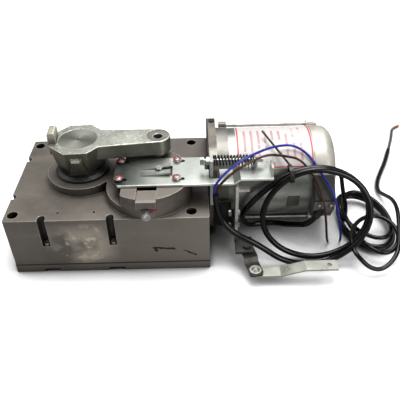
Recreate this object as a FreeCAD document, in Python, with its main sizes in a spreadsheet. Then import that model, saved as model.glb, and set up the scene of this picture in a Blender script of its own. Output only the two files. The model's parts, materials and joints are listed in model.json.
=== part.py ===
"""Right-angle gear motor with a crank arm, a sliding release plate and loose leads.

Frame: origin on the base plane under the output shaft, +X towards the motor,
+Y to the back, +Z up. Sizes in millimetres.
"""
import FreeCAD, Part
import math
import os
import re
import Sketcher

Vec = FreeCAD.Vector

SIZES = {
    # gear housing
    "body_length": 210.0, "body_width": 151.0, "body_height": 61.4, "shaft_from_left": 72.3,
    "shaft_from_front": 77.0, "base_thick": 10.0, "seal_thick": 0.6, "front_wall": 12.0,
    "side_wall": 8.0, "roof": 5.0, "body_fillet": 1.5, "corner_hole_r": 5.6, "hole_inset_left": 8.4,
    "hole_inset_right": 18.3, "hole_inset_y": 10.6, "left_pillar": 16.0, "right_pillar": 30.0,
    "boss_r": 38.5, "boss_rise": 10.0, "tower_r": 45.4, "tower_rise": 24.0, "tower_flat_in": 26.0,
    "channel_r": 4.0, "channel_depth": 8.5, "channel_left_x": -33.3, "channel_right_x": 36.7,
    "channel_front_y": -36.4, "channel_back_y": 34.3, "channel_floor": 37.0, "side_channel_depth": 5.0,
    "screw_r": 2.5, "screw_head_r": 3.6, "screw_head_high": 3.0, "foot_notch_wide": 17.0,
    "foot_notch_high": 4.0, "foot_notch_deep": 6.0, "pit_r": 1.6, "pit_depth": 3.0, "pit_left_x": -18.1,
    "pit_right_x": 19.1, "pit_inset": 12.7,
    # slot in the tower, its block and adjusting screw
    "slot_wide": 20.4, "slot_deep": 34.0, "slot_floor": 9.0, "block_clear": 0.2, "block_long": 19.5,
    "block_proud": 3.0, "block_drop": 1.0, "adjuster_r": 2.5, "adjuster_long": 22.0,
    "adjuster_head_r": 4.6, "locknut_across": 9.0, "locknut_thick": 4.0,
    # gear train
    "gear_module": 2.5, "train_long": 186.0, "train_clear": 4.0, "post_clear": 1.5, "gear_teeth": 46.0,
    "idler_teeth": 19.0, "pinion_teeth": 12.0, "gear_face": 16.0, "window_r": 10.0,
    "window_place": 38.0, "gear_bottom": 18.0, "idler_offset_y": 31.4, "pressure_angle": 25.0,
    "backlash": 0.36, "worm_module": 1.25, "wheel_teeth": 32.0, "worm_r": 6.5, "wheel_face": 8.0,
    "worm_long": 26.0, "shaft_r": 20.5, "shaft_seat_r": 16.0, "shaft_foot_r": 12.5,
    "idler_shaft_r": 8.0, "pinion_shaft_r": 6.0, "fit_clear": 0.02, "run_clear": 0.05, "bush_wall": 4.0,
    "bush_deep": 6.0, "base_boss_rise": 6.0, "dust_seal_high": 7.0, "dust_seal_r": 29.0,
    # crank
    "crank_rise": 38.0, "hub_high": 29.0, "hub_flat": 28.7, "hub_draft": 3.6, "hub_bevel": 2.6,
    "hub_bevel_high": 7.0, "arm_thick": 16.0, "arm_reach": 84.9, "arm_tip_r": 13.4, "arm_root": 38.0,
    "arm_turn": 2.8, "arm_hole_r": 5.0, "spot_r": 12.0, "spot_deep": 1.2, "tip_boss_r": 12.0,
    "tip_boss_high": 2.5, "stop_wide": 8.5, "stop_long": 17.0, "stop_high": 13.0, "wedge_top": 10.0,
    "wedge_foot": 20.0, "wedge_proud": 4.5, "wedge_foot_proud": 1.0, "wedge_high": 21.0,
    "centre_hole_r": 1.8, "centre_hole_deep": 5.0,
    # motor
    "motor_y": 19.9, "axis_below": 8.4, "motor_r": 50.5, "flange_proud": 1.5, "flange_flat": 27.0,
    "flange_thick": 8.5, "flange_seal": 1.5, "front_bell": 13.0, "stator_long": 92.3,
    "rear_bell": 24.3, "shell_wall": 3.0, "bell_wall": 4.0, "rear_round": 12.0, "core_long": 60.0,
    "core_deep": 20.5, "air_gap": 0.6, "rotor_shaft_r": 7.5, "bearing_r": 16.0, "bearing_wide": 9.0,
    "wall_bore_r": 9.5, "worm_shaft_r": 5.0, "tie_r": 2.2, "tie_angle": 52.0, "tie_gap": 0.4,
    "tie_lug_r": 4.6, "plug_r": 3.4, "plug_high": 1.6, "flange_screw_in": 12.5,
    # release plate, spring and link
    # reaches count from the tower's axis, outs from the housing's motor end, offs from the flange's side
    "plate_thick": 2.0, "plate_gap": 0.3, "plate_left_reach": 34.9, "plate_front": -56.5,
    "plate_back": -8.0, "plate_neck_in": 3.7, "plate_neck_y": -31.0, "step_out": 25.3, "step_run": 7.0,
    "step_rise": 5.0, "plate_out": 65.3, "lip_high": 10.0, "plate_travel": 6.0, "plate_chamfer": 6.0,
    "stud_left_reach": 29.2, "stud_right_reach": 30.1, "stud_front_y": -46.0, "stud_back_y": -14.0,
    "stud_r": 2.1, "stud_head_r": 3.4, "stud_washer_r": 4.6, "stud_head_high": 1.9, "stud_clear": 0.3,
    "ramp_left_reach": 7.9, "ramp_right_reach": 23.6, "ramp_front": -40.5, "ramp_back": -22.5,
    "ramp_rise": 4.0, "fork_slot": 5.0, "fork_reach": 7.6, "pin_reach": 11.8, "pin_y": -31.4,
    "pin_r": 2.2, "pin_head_r": 3.6, "pin_head_high": 1.5, "spring_off": 1.4, "spring_rise": 14.8,
    "spring_r": 5.3, "spring_wire_r": 0.7, "spring_turns": 14.0, "rod_r": 2.5, "rod_out": 56.3,
    "ear_out": 1.7, "ear_thick": 3.0, "tab_out": 48.3, "tab_wide": 14.0, "bracket_thick": 3.0,
    "strut_out": 27.3, "strut_front_off": 27.9, "strut_back_off": 9.9, "strut_foot": 20.0,
    "strut_below": 2.0, "lug_out": 46.3, "lug_front_off": 45.9, "lug_pin_out": 40.2,
    "lug_pin_off": 36.9, "strap_wide": 15.0, "strap_reach_x": 6.8, "strap_reach_y": -28.0,
    "strap_drop": 5.0, "link_thick": 2.0, "link_wide": 13.5, "link_low": 26.0, "link_ramp": 26.0,
    "link_rise": 8.0, "link_high": 33.0, "link_hole_r": 2.6, "link_hole_in": 8.5, "rivet_r": 3.0,
    "joint_gap": 0.3,
    # terminal box and leads
    "box_back": 2.0, "box_wide": 22.0, "box_below": 24.6, "seam_above": 3.4, "box_above": 25.4,
    "box_reach": 14.4, "box_seat": 0.4, "lead_r": 3.2, "wire_r": 1.3, "signal_r": 2.4, "core_r": 1.6,
    "tie_wide": 4.0,
}

# Places and sizes that follow from the ones above; the gear train shrinks where its room is too short
PLACES = {
    "train_fit": "min( 1 ; ( body_length - 2 * side_wall - 2 * train_clear ) / train_long )",
    "tooth_module": "gear_module * train_fit",
    "thread_module": "worm_module * train_fit",
    "right_end": "body_length - shaft_from_left",
    "tower_top": "base_thick + seal_thick + body_height + tower_rise",
    "tower_x": "sqrt( ( tooth_module * ( gear_teeth + idler_teeth ) / 2 ) ^ 2 - idler_offset_y ^ 2 )",
    "tower_flat": "tower_x - tower_flat_in",
    "crank_top": "base_thick + seal_thick + body_height + boss_rise + crank_rise",
    "motor_z": "base_thick + seal_thick + body_height - roof - axis_below",
    "flange_half": "motor_r + flange_proud",
    "flange_corner": "flange_half - flange_flat",
    "flange_side": "motor_y - flange_half",
    "core_bore_r": "motor_r - core_deep",
    "plate_left": "tower_x - plate_left_reach",
    "stud_left_x": "tower_x - stud_left_reach",
    "stud_right_x": "tower_x + stud_right_reach",
    "ramp_left": "tower_x - ramp_left_reach",
    "ramp_right": "tower_x + ramp_right_reach",
    "fork_start": "tower_x + fork_reach",
    "pin_x": "tower_x + pin_reach",
    "plate_neck_x": "right_end - plate_neck_in",
    "step_x": "right_end + step_out",
    "plate_end": "right_end + plate_out",
    "rod_end": "right_end + rod_out",
    "ear_x": "right_end + ear_out",
    "tab_x": "right_end + tab_out",
    "spring_y": "flange_side - spring_off",
    "spring_z": "tower_top + spring_rise",
    "strut_x": "right_end + strut_out",
    "strut_front": "flange_side - strut_front_off",
    "strut_back": "flange_side - strut_back_off",
    "strut_top": "tower_top - strut_below",
    "lug_end": "right_end + lug_out",
    "lug_front": "flange_side - lug_front_off",
    "lug_pin_x": "right_end + lug_pin_out",
    "lug_pin_y": "flange_side - lug_pin_off",
    "box_left": "right_end + flange_seal + flange_thick + front_bell + stator_long - box_back",
    "box_front": "motor_y - motor_r - box_reach",
    "box_foot_z": "motor_z - box_below",
    "box_seam_z": "motor_z + seam_above",
    "box_top_z": "motor_z + box_above",
}

doc = FreeCAD.newDocument("gear_motor")
dims = doc.addObject("Spreadsheet::Sheet", "dims")
for row, (alias, value) in enumerate(SIZES.items(), start=1):
    dims.set("A%d" % row, alias)
    dims.set("B%d" % row, str(value))
    dims.setAlias("B%d" % row, alias)
doc.recompute()


def size(expression):
    """The number that an expression of sheet names stands for."""
    return float(dims.evalExpression(bind(expression)))


def bind(expression):
    """Spell out the places in an expression and point every bare sheet name at the sheet."""

    def spell(word):
        if word[0] in PLACES:
            return "( %s )" % bind(PLACES[word[0]])
        return "dims." + word[0] if word[0] in SIZES else word[0]

    return re.sub(r"[a-z]\w*", spell, str(expression))


TURNS = {
    "z": FreeCAD.Rotation(),
    "x": FreeCAD.Rotation(Vec(0, 1, 0), 90),
    "y": FreeCAD.Rotation(Vec(1, 0, 0), -90),
}


def place(item, x, y, z, axis="z"):
    item.Placement = FreeCAD.Placement(Vec(0, 0, 0), TURNS[axis])
    for letter, value in zip("xyz", (x, y, z)):
        item.setExpression("Placement.Base." + letter, bind(value))
    return item


def cylinder(name, radius, height, x="0", y="0", z="0", axis="z"):
    item = doc.addObject("Part::Cylinder", name)
    item.setExpression("Radius", bind(radius))
    item.setExpression("Height", bind(height))
    return place(item, x, y, z, axis)


def cone(name, foot, top, height, x="0", y="0", z="0", axis="z"):
    item = doc.addObject("Part::Cone", name)
    for prop, value in (("Radius1", foot), ("Radius2", top), ("Height", height)):
        item.setExpression(prop, bind(value))
    return place(item, x, y, z, axis)


def box(name, length, width, height, x, y, z):
    item = doc.addObject("Part::Box", name)
    for prop, value in (("Length", length), ("Width", width), ("Height", height)):
        item.setExpression(prop, bind(value))
    return place(item, x, y, z)


def cut(name, base, *tools):
    item = doc.addObject("Part::Cut", name)
    item.Base = base
    item.Tool = tools[0] if len(tools) == 1 else fuse(name + "_tools", *tools)
    return item


def fuse(name, *shapes):
    item = doc.addObject("Part::MultiFuse", name)
    item.Shapes = list(shapes)
    return item


def group(name, *shapes):
    item = doc.addObject("Part::Compound", name)
    item.Links = list(shapes)
    return item


def ring(name, outer, inner, height, x="0", y="0", z="0", axis="z"):
    hollow = cylinder(name + "_bore", inner, height, x, y, z, axis)
    return cut(name, cylinder(name + "_rim", outer, height, x, y, z, axis), hollow)


def nut(name, across, thick, bore, x, y, z, axis="z"):
    item = doc.addObject("Part::Prism", name + "_hex")
    item.Polygon = 6
    item.setExpression("Circumradius", bind("( %s ) / 1.7320508" % across))
    item.setExpression("Height", bind(thick))
    place(item, x, y, z, axis)
    return cut(name, item, cylinder(name + "_bore", bore, thick, x, y, z, axis))


def solid(name, shape):
    item = doc.addObject("Part::Feature", name)
    item.Shape = shape
    return item


ROLES = {"z": "XY_Plane", "y": "XZ_Plane", "x": "YZ_Plane"}


def sketch(body, name, normal, offset, outlines):
    """A sketch of closed outlines, each a list of corners or a (x, y, r) circle."""
    item = body.newObject("Sketcher::SketchObject", name)
    plane = [f for f in body.Origin.OriginFeatures if f.Role == ROLES[normal]][0]
    item.AttachmentSupport = (plane, [""])
    item.MapMode = "FlatFace"
    item.setExpression("AttachmentOffset.Base.z", bind("- ( %s )" % offset if normal == "y" else offset))

    def fix(kind, value, *where):
        index = item.addConstraint(Sketcher.Constraint(kind, *where, size(value)))
        item.setExpression("Constraints[%d]" % index, bind(value))

    for outline in outlines:
        first = item.GeometryCount
        if isinstance(outline, tuple):
            x, y, radius = outline
            item.addGeometry(Part.Circle(Vec(size(x), size(y), 0), Vec(0, 0, 1), size(radius)))
            fix("DistanceX", x, -1, 1, first, 3)
            fix("DistanceY", y, -1, 1, first, 3)
            fix("Radius", radius, first)
            continue
        corners = [Vec(size(x), size(y), 0) for x, y in outline]
        count = len(corners)
        for i in range(count):
            item.addGeometry(Part.LineSegment(corners[i], corners[(i + 1) % count]))
        for i in range(count):
            item.addConstraint(Sketcher.Constraint("Coincident", first + i, 2, first + (i + 1) % count, 1))
        for i, (x, y) in enumerate(outline):
            fix("DistanceX", x, -1, 1, first + i, 1)
            fix("DistanceY", y, -1, 1, first + i, 1)
    return item


def pad(name, normal, offset, length, *outlines):
    """A body padded from a sketch; a y-normal sketch pads towards -Y."""
    body = doc.addObject("PartDesign::Body", name)
    item = body.newObject("PartDesign::Pad", name + "_pad")
    item.Profile = sketch(body, name + "_outline", normal, offset, outlines)
    item.setExpression("Length", bind(length))
    doc.recompute()
    return body


def round_edges(body, radius, chosen):
    """Fillet the edges of a body's tip that a test picks."""
    base = body.Tip
    names = ["Edge%d" % (i + 1) for i, edge in enumerate(base.Shape.Edges) if chosen(edge)]
    item = body.newObject("PartDesign::Fillet", body.Name + "_fillet%d" % len(body.Group))
    item.Base = (base, names)
    item.setExpression("Radius", bind(radius))
    doc.recompute()
    return body


def upright(edge):
    box_of = edge.BoundBox
    return box_of.ZLength > 1 and box_of.XLength + box_of.YLength < 0.01


SUBPARTS = {}


def keep(name, item):
    item.Label = name
    SUBPARTS[name] = item
    return item


# Derived places, written as expressions of the sheet
LEFT = "- shaft_from_left"
RIGHT = "right_end"
FRONT = "- shaft_from_front"
BACK = "( body_width - shaft_from_front )"
DECK = "( base_thick + seal_thick )"
TOP = "( base_thick + seal_thick + body_height )"
BOSS_TOP = "( base_thick + seal_thick + body_height + boss_rise )"
TOWER_TOP = "tower_top"
CEILING = "( base_thick + seal_thick + body_height - roof )"
IDLER_X = "tower_x"
IDLER_Y = "- idler_offset_y"
PINION_Y = "( motor_y - worm_r - thread_module * wheel_teeth / 2 )"
PINION_CENTRES = "( tooth_module * ( pinion_teeth + idler_teeth ) / 2 )"
PINION_DY = "( %s + idler_offset_y )" % PINION_Y
PINION_RUN = "sqrt( %s * %s - %s * %s )" % (PINION_CENTRES, PINION_CENTRES, PINION_DY, PINION_DY)
PINION_X = "( %s + %s )" % (IDLER_X, PINION_RUN)
GEAR_TOP = "( gear_bottom + gear_face )"
HOLES = [
    (x, y)
    for x in (LEFT + " + hole_inset_left", RIGHT + " - hole_inset_right")
    for y in (FRONT + " + hole_inset_y", BACK + " - hole_inset_y")
]
COVER_SCREWS = [
    (x, y)
    for x in ("channel_left_x", "channel_right_x")
    for y in (FRONT + " + channel_depth - channel_r", BACK + " - channel_depth + channel_r")
]
SIDE_CHANNELS = [
    (LEFT + " + side_channel_depth - channel_r", y)
    for y in ("channel_front_y", "channel_back_y")
]
DECK_OUTLINE = [(LEFT, FRONT), (RIGHT, FRONT), (RIGHT, BACK), (LEFT, BACK)]
INNER_LEFT, INNER_RIGHT = LEFT + " + side_wall", RIGHT + " - side_wall"
INNER_FRONT, INNER_BACK = FRONT + " + front_wall", BACK + " - front_wall"
CAVITY = [
    (INNER_LEFT + " + left_pillar", INNER_FRONT), (INNER_RIGHT + " - right_pillar", INNER_FRONT),
    (INNER_RIGHT, INNER_FRONT + " + right_pillar"), (INNER_RIGHT, INNER_BACK + " - right_pillar"),
    (INNER_RIGHT + " - right_pillar", INNER_BACK), (INNER_LEFT + " + left_pillar", INNER_BACK),
    (INNER_LEFT, INNER_BACK + " - left_pillar"), (INNER_LEFT, INNER_FRONT + " + left_pillar"),
]


def build_housing():
    """Open-bottomed casting: two bosses on the roof, channels in the walls, a slotted tower."""
    shell = pad("casting", "z", DECK, "body_height", DECK_OUTLINE,
                *[(x, y, "corner_hole_r") for x, y in HOLES])
    middle_x, end_reach = size("body_length / 2 - shaft_from_left"), size("body_length / 2 - 1")

    def outer_corner(edge):
        straight = upright(edge) and edge.Curve.TypeId == "Part::GeomLine"
        return straight and abs(edge.BoundBox.Center.x - middle_x) > end_reach

    round_edges(shell, "body_fillet", outer_corner)
    boss = cylinder("output_boss", "boss_r", "boss_rise + roof", z=CEILING)
    tower = cut(
        "tower_block",
        cylinder("tower", "tower_r", "tower_rise + roof", IDLER_X, IDLER_Y, CEILING),
        box("tower_relief", "2 * tower_r", "2 * tower_r", "tower_rise", "tower_flat - 2 * tower_r",
            IDLER_Y + " - tower_r", BOSS_TOP),
    )
    hub_ring = cylinder("inner_ring", "shaft_r + bush_wall + 7", "18", z=CEILING + " - 17")
    post = box("worm_post", "12", "24", "18", PINION_X + " - worm_long / 2 - 16", "motor_y - 12",
               CEILING + " - 17")
    clear_r = PINION_CENTRES + " - thread_module * ( wheel_teeth / 2 + 1 ) - post_clear"
    idler_post = cylinder("idler_post", clear_r, "18", IDLER_X, IDLER_Y, CEILING + " - 17")
    pinion_post = cylinder("pinion_post", "pinion_shaft_r + bush_wall", "3", PINION_X, PINION_Y,
                           CEILING + " - 2")
    hollow = pad("gear_room", "z", DECK, "body_height - roof", CAVITY)
    body = fuse("casting_mass", cut("hollow_casting", shell, hollow), boss, tower, hub_ring, post,
                idler_post, pinion_post)
    tools = [
        cylinder("shaft_bore", "shaft_r + bush_wall", "60", z=CEILING + " - 17"),
        cylinder("seal_bore", "dust_seal_r - 4", "4", z=BOSS_TOP + " - 4"),
        cylinder("idler_bore", "idler_shaft_r + bush_wall", "20", IDLER_X, IDLER_Y, CEILING + " - 17"),
        cylinder("pinion_bore", "pinion_shaft_r + run_clear", "4", PINION_X, PINION_Y, CEILING + " - 2"),
        cylinder("wall_bore", "wall_bore_r", "side_wall", RIGHT + " - side_wall", "motor_y", "motor_z",
                 "x"),
        cylinder("post_bore", "worm_shaft_r + bush_wall - 1", "12", PINION_X + " - worm_long / 2 - 16",
                 "motor_y", "motor_z", "x"),
        box("tower_slot", "slot_wide", "slot_deep + 1", "slot_floor", IDLER_X + " - slot_wide / 2",
            IDLER_Y + " - tower_r - 1", TOWER_TOP + " - slot_floor"),
        cylinder("adjuster_hole", "adjuster_r + fit_clear", "adjuster_long", IDLER_X,
                 IDLER_Y + " - tower_r - 1", TOWER_TOP + " - slot_floor - 6", "y"),
        cylinder("pin_hole", "pin_r + run_clear", "20", "pin_x", "pin_y", TOWER_TOP + " - 20"),
    ]
    for i, x in enumerate(("pit_left_x", "pit_right_x")):
        tools.append(cylinder("pit%d" % i, "pit_r", "pit_depth", x, FRONT + " + pit_inset",
                              TOP + " - pit_depth"))
    for i, (x, y) in enumerate(COVER_SCREWS + SIDE_CHANNELS):
        tools.append(cylinder("channel%d" % i, "channel_r", TOP + " - channel_floor", x, y,
                              "channel_floor"))
    for i, (x, y) in enumerate(COVER_SCREWS):
        tools.append(cylinder("screw_way%d" % i, "screw_r + fit_clear", "channel_floor", x, y, "0"))
    mouth = "2 * channel_r"
    for i, x in enumerate(("channel_left_x", "channel_right_x")):
        deep = "channel_depth - channel_r + 1"
        tools.append(box("front_mouth%d" % i, mouth, deep, TOP + " - channel_floor", x + " - channel_r",
                         FRONT + " - 1", "channel_floor"))
        tools.append(box("back_mouth%d" % i, mouth, deep, TOP + " - channel_floor", x + " - channel_r",
                         BACK + " - channel_depth + channel_r", "channel_floor"))
    for i, y in enumerate(("channel_front_y", "channel_back_y")):
        tools.append(box("side_mouth%d" % i, "side_channel_depth - channel_r + 1", mouth,
                         TOP + " - channel_floor", LEFT + " - 1", y + " - channel_r", "channel_floor"))
    for i, (x, y) in enumerate(STUDS):
        tools.append(cylinder("stud_hole%d" % i, "stud_r + fit_clear", "9", x, y, stud_seat(i) + " - 9"))
    for i, (y, z) in enumerate(FLANGE_SCREWS):
        tools.append(cylinder("flange_tap%d" % i, "screw_r + fit_clear", "side_wall - 1",
                              RIGHT + " - side_wall + 1", y, z, "x"))
    return keep("gear_housing", cut("gear_housing", body, *tools))


def build_base():
    """Bottom cover with notches for fingers or water, a gasket and the screws that hold it."""
    plate = pad("cover_plate", "z", "0", "base_thick", DECK_OUTLINE,
                *[(x, y, "corner_hole_r") for x, y in HOLES])
    posts = [
        cylinder("output_seat", "shaft_foot_r + bush_wall + 5", "base_boss_rise", z="base_thick"),
        cylinder("idler_seat", "idler_shaft_r + 6", "base_boss_rise", IDLER_X, IDLER_Y, "base_thick"),
        cylinder("pinion_seat", "pinion_shaft_r + 5", "base_boss_rise", PINION_X, PINION_Y, "base_thick"),
    ]
    tools = [
        cylinder("output_pocket", "shaft_foot_r + bush_wall", "base_boss_rise + bush_deep",
                 z="base_thick - bush_deep"),
        cylinder("idler_pocket", "idler_shaft_r + run_clear", "base_boss_rise + bush_deep", IDLER_X,
                 IDLER_Y, "base_thick - bush_deep"),
        cylinder("pinion_pocket", "pinion_shaft_r + run_clear", "base_boss_rise + bush_deep", PINION_X,
                 PINION_Y, "base_thick - bush_deep"),
    ]
    for i, x in enumerate(("channel_left_x", "channel_right_x")):
        for side, y in (("front", FRONT), ("back", BACK + " - foot_notch_deep")):
            tools.append(box("%s_notch%d" % (side, i), "foot_notch_wide", "foot_notch_deep",
                             "foot_notch_high", x + " - foot_notch_wide / 2", y, "0"))
    for i, (x, y) in enumerate(COVER_SCREWS):
        tools.append(cylinder("screw_tap%d" % i, "screw_r + fit_clear", "base_thick - foot_notch_high", x,
                              y, "foot_notch_high"))
    keep("base_cover", cut("base_cover", fuse("cover_mass", plate, *posts), *tools))
    ways = [(x, y, "screw_r + fit_clear") for x, y in COVER_SCREWS]
    keep("base_gasket", pad("base_gasket", "z", "base_thick", "seal_thick", DECK_OUTLINE, CAVITY,
                            *[(x, y, "corner_hole_r") for x, y in HOLES], *ways))
    screws = []
    for i, (x, y) in enumerate(COVER_SCREWS):
        shank = cylinder("cover_shank%d" % i, "screw_r", "channel_floor - foot_notch_high - 0.5", x, y,
                         "foot_notch_high + 0.5")
        head = cylinder("cover_head%d" % i, "screw_head_r", "screw_head_high", x, y, "channel_floor")
        socket = cylinder("cover_socket%d" % i, "screw_r * 0.7", "screw_head_high * 0.6", x, y,
                          "channel_floor + screw_head_high * 0.4")
        screws.append(cut("cover_screw%d" % i, fuse("cover_bolt%d" % i, shank, head), socket))
    keep("base_cover_screws", group("base_cover_screws", *screws))


STUDS = [(x, y) for x in ("stud_left_x", "stud_right_x") for y in ("stud_front_y", "stud_back_y")]
SCREW_REACH = "( motor_r - flange_screw_in )"
FLANGE_SCREWS = [
    ("motor_y + " + SCREW_REACH, "motor_z"), ("motor_y - " + SCREW_REACH, "motor_z"),
    ("motor_y + 0.71 * " + SCREW_REACH, "motor_z - 0.71 * " + SCREW_REACH),
    ("motor_y - 0.71 * " + SCREW_REACH, "motor_z - 0.71 * " + SCREW_REACH),
]


def stud_seat(index):
    """The left pair of studs stands on the lower boss, the right pair on the tower."""
    return BOSS_TOP if index < 2 else TOWER_TOP


def involute_gear(teeth, module, face, bore, phase, angle, thinning):
    """A spur gear as one extruded outline, with a tooth centred on the phase angle."""
    pitch_r = module * teeth / 2
    base_r = pitch_r * math.cos(math.radians(angle))
    tip_r, root_r = pitch_r + module, pitch_r - 1.25 * module

    def spread(radius):
        """Angle that the involute has turned through at a radius."""
        if radius <= base_r:
            return 0.0
        roll = math.sqrt((radius / base_r) ** 2 - 1)
        return roll - math.atan(roll)

    half = (math.pi * module / 2 - thinning) / (2 * pitch_r) + spread(pitch_r)
    steps = [max(base_r, root_r) + (tip_r - max(base_r, root_r)) * i / 4 for i in range(5)]
    flank = [(root_r, half)] if root_r < base_r else []
    flank += [(radius, half - spread(radius)) for radius in steps]
    points = []
    for tooth in range(teeth):
        centre = phase + 2 * math.pi * tooth / teeth
        points += [(r, centre - a) for r, a in flank] + [(r, centre + a) for r, a in reversed(flank)]
    corners = [Vec(r * math.cos(a), r * math.sin(a), 0) for r, a in points]
    outline = Part.Face(Part.makePolygon(corners + corners[:1]))
    blank = outline.extrude(Vec(0, 0, face))
    return blank.cut(Part.makeCylinder(bore, face))


def spur(name, teeth, bore, x, y, phase):
    shape = involute_gear(int(size(teeth)), size("tooth_module"), size("gear_face"), size(bore), phase,
                          size("pressure_angle"), size("backlash") / 2)
    item = solid(name, shape)
    return place(item, x, y, "gear_bottom")


def mesh_phase(teeth, x, y):
    """Phase that puts a tooth space of a gear opposite a tooth of the idler, whose phase is zero."""
    idler = Vec(size(IDLER_X), size(IDLER_Y), 0)
    line = Vec(size(x), size(y), 0) - idler
    beta = math.atan2(line.y, line.x)
    idler_r, gear_r = (size("tooth_module") * size(t) / 2 for t in ("idler_teeth", teeth))
    half_pitch = math.pi * size("tooth_module") / 2
    return beta + math.pi + (half_pitch + idler_r * beta) / gear_r


def revolve(name, profile, x, y, z, axis="z"):
    """A turned piece from (radius, station) pairs along its axis."""
    corners = [Vec(size(r), 0, size(s)) for r, s in profile]
    face = Part.Face(Part.makePolygon(corners + corners[:1]))
    return place(solid(name, face.revolve(Vec(0, 0, 0), Vec(0, 0, 1), 360)), x, y, z, axis)


def build_output():
    """Output shaft, its gear, bushes and seals."""
    profile = [
        ("0", "base_thick - bush_deep + 0.3"), ("shaft_foot_r", "base_thick - bush_deep + 0.3"),
        ("shaft_foot_r", "gear_bottom - 1"), ("shaft_seat_r", "gear_bottom - 1"),
        ("shaft_seat_r", GEAR_TOP),
        ("shaft_r", GEAR_TOP), ("shaft_r", "crank_top - 0.4"), ("shaft_r - 0.4", "crank_top"),
        ("centre_hole_r", "crank_top"), ("centre_hole_r", "crank_top - centre_hole_deep"),
        ("0", "crank_top - centre_hole_deep"),
    ]
    keep("output_shaft", revolve("output_shaft", profile, "0", "0", "0"))
    blank = spur("output_gear_blank", "gear_teeth", "shaft_seat_r + fit_clear", "0", "0",
                 mesh_phase("gear_teeth", "0", "0"))
    windows = [
        cylinder("gear_window%d" % i, "window_r * train_fit", "gear_face",
                 "window_place * train_fit * cos( %d deg )" % turn,
                 "window_place * train_fit * sin( %d deg )" % turn, "gear_bottom")
        for i, turn in enumerate(range(0, 360, 60))
    ]
    keep("output_gear", cut("output_gear", blank, *windows))
    keep("upper_bush", ring("upper_bush", "shaft_r + bush_wall - fit_clear", "shaft_r + run_clear", "28",
                            z=CEILING + " - 17"))
    keep("lower_bush", ring("lower_bush", "shaft_foot_r + bush_wall - fit_clear",
                            "shaft_foot_r + run_clear",
                            "base_boss_rise + bush_deep", z="base_thick - bush_deep"))
    keep("shaft_seal", ring("shaft_seal", "dust_seal_r - 4 - fit_clear", "shaft_r + run_clear", "4",
                            z=BOSS_TOP + " - 4"))
    lip = [
        ("shaft_r + fit_clear", "joint_gap"), ("shaft_r + 4", "joint_gap"), ("dust_seal_r", "1.2"),
        ("dust_seal_r", "2.4"), ("shaft_r + 4.5", "dust_seal_high - 2"), ("shaft_r + 5", "dust_seal_high"),
        ("shaft_r + fit_clear", "dust_seal_high"),
    ]
    keep("dust_seal", revolve("dust_seal", lip, "0", "0", BOSS_TOP))


def build_train():
    """Idler and pinion shafts with their gears and the worm wheel."""
    keep("idler_gear", spur("idler_gear", "idler_teeth", "idler_shaft_r + fit_clear", IDLER_X, IDLER_Y,
                            0.0))
    keep("idler_shaft", cylinder("idler_shaft", "idler_shaft_r", CEILING + " - base_thick + bush_deep - 1",
                                 IDLER_X, IDLER_Y, "base_thick - bush_deep + 0.3"))
    keep("idler_bush", ring("idler_bush", "idler_shaft_r + bush_wall - fit_clear",
                            "idler_shaft_r + run_clear", "17", IDLER_X, IDLER_Y, CEILING + " - 17"))
    keep("pinion_gear", spur("pinion_gear", "pinion_teeth", "pinion_shaft_r + fit_clear", PINION_X,
                             PINION_Y, mesh_phase("pinion_teeth", PINION_X, PINION_Y)))
    keep("pinion_shaft", cylinder("pinion_shaft", "pinion_shaft_r",
                                  CEILING + " - base_thick + bush_deep - 0.6",
                                  PINION_X, PINION_Y, "base_thick - bush_deep + 0.3"))
    teeth = int(size("wheel_teeth"))
    pitch = math.pi * size("thread_module")
    space_up = math.pi / 2 + math.pi / teeth
    wheel = involute_gear(teeth, size("thread_module"), size("wheel_face"),
                          size("pinion_shaft_r + fit_clear"), space_up, 20.0, 0.1 * pitch)
    rim = place(solid("wheel_rim", wheel), PINION_X, PINION_Y, "motor_z - wheel_face / 2")
    hub = ring("wheel_hub", "pinion_shaft_r + 4", "pinion_shaft_r + fit_clear",
               "motor_z - wheel_face / 2 - " + GEAR_TOP, PINION_X, PINION_Y, GEAR_TOP)
    keep("worm_wheel", fuse("worm_wheel", rim, hub))


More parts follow.
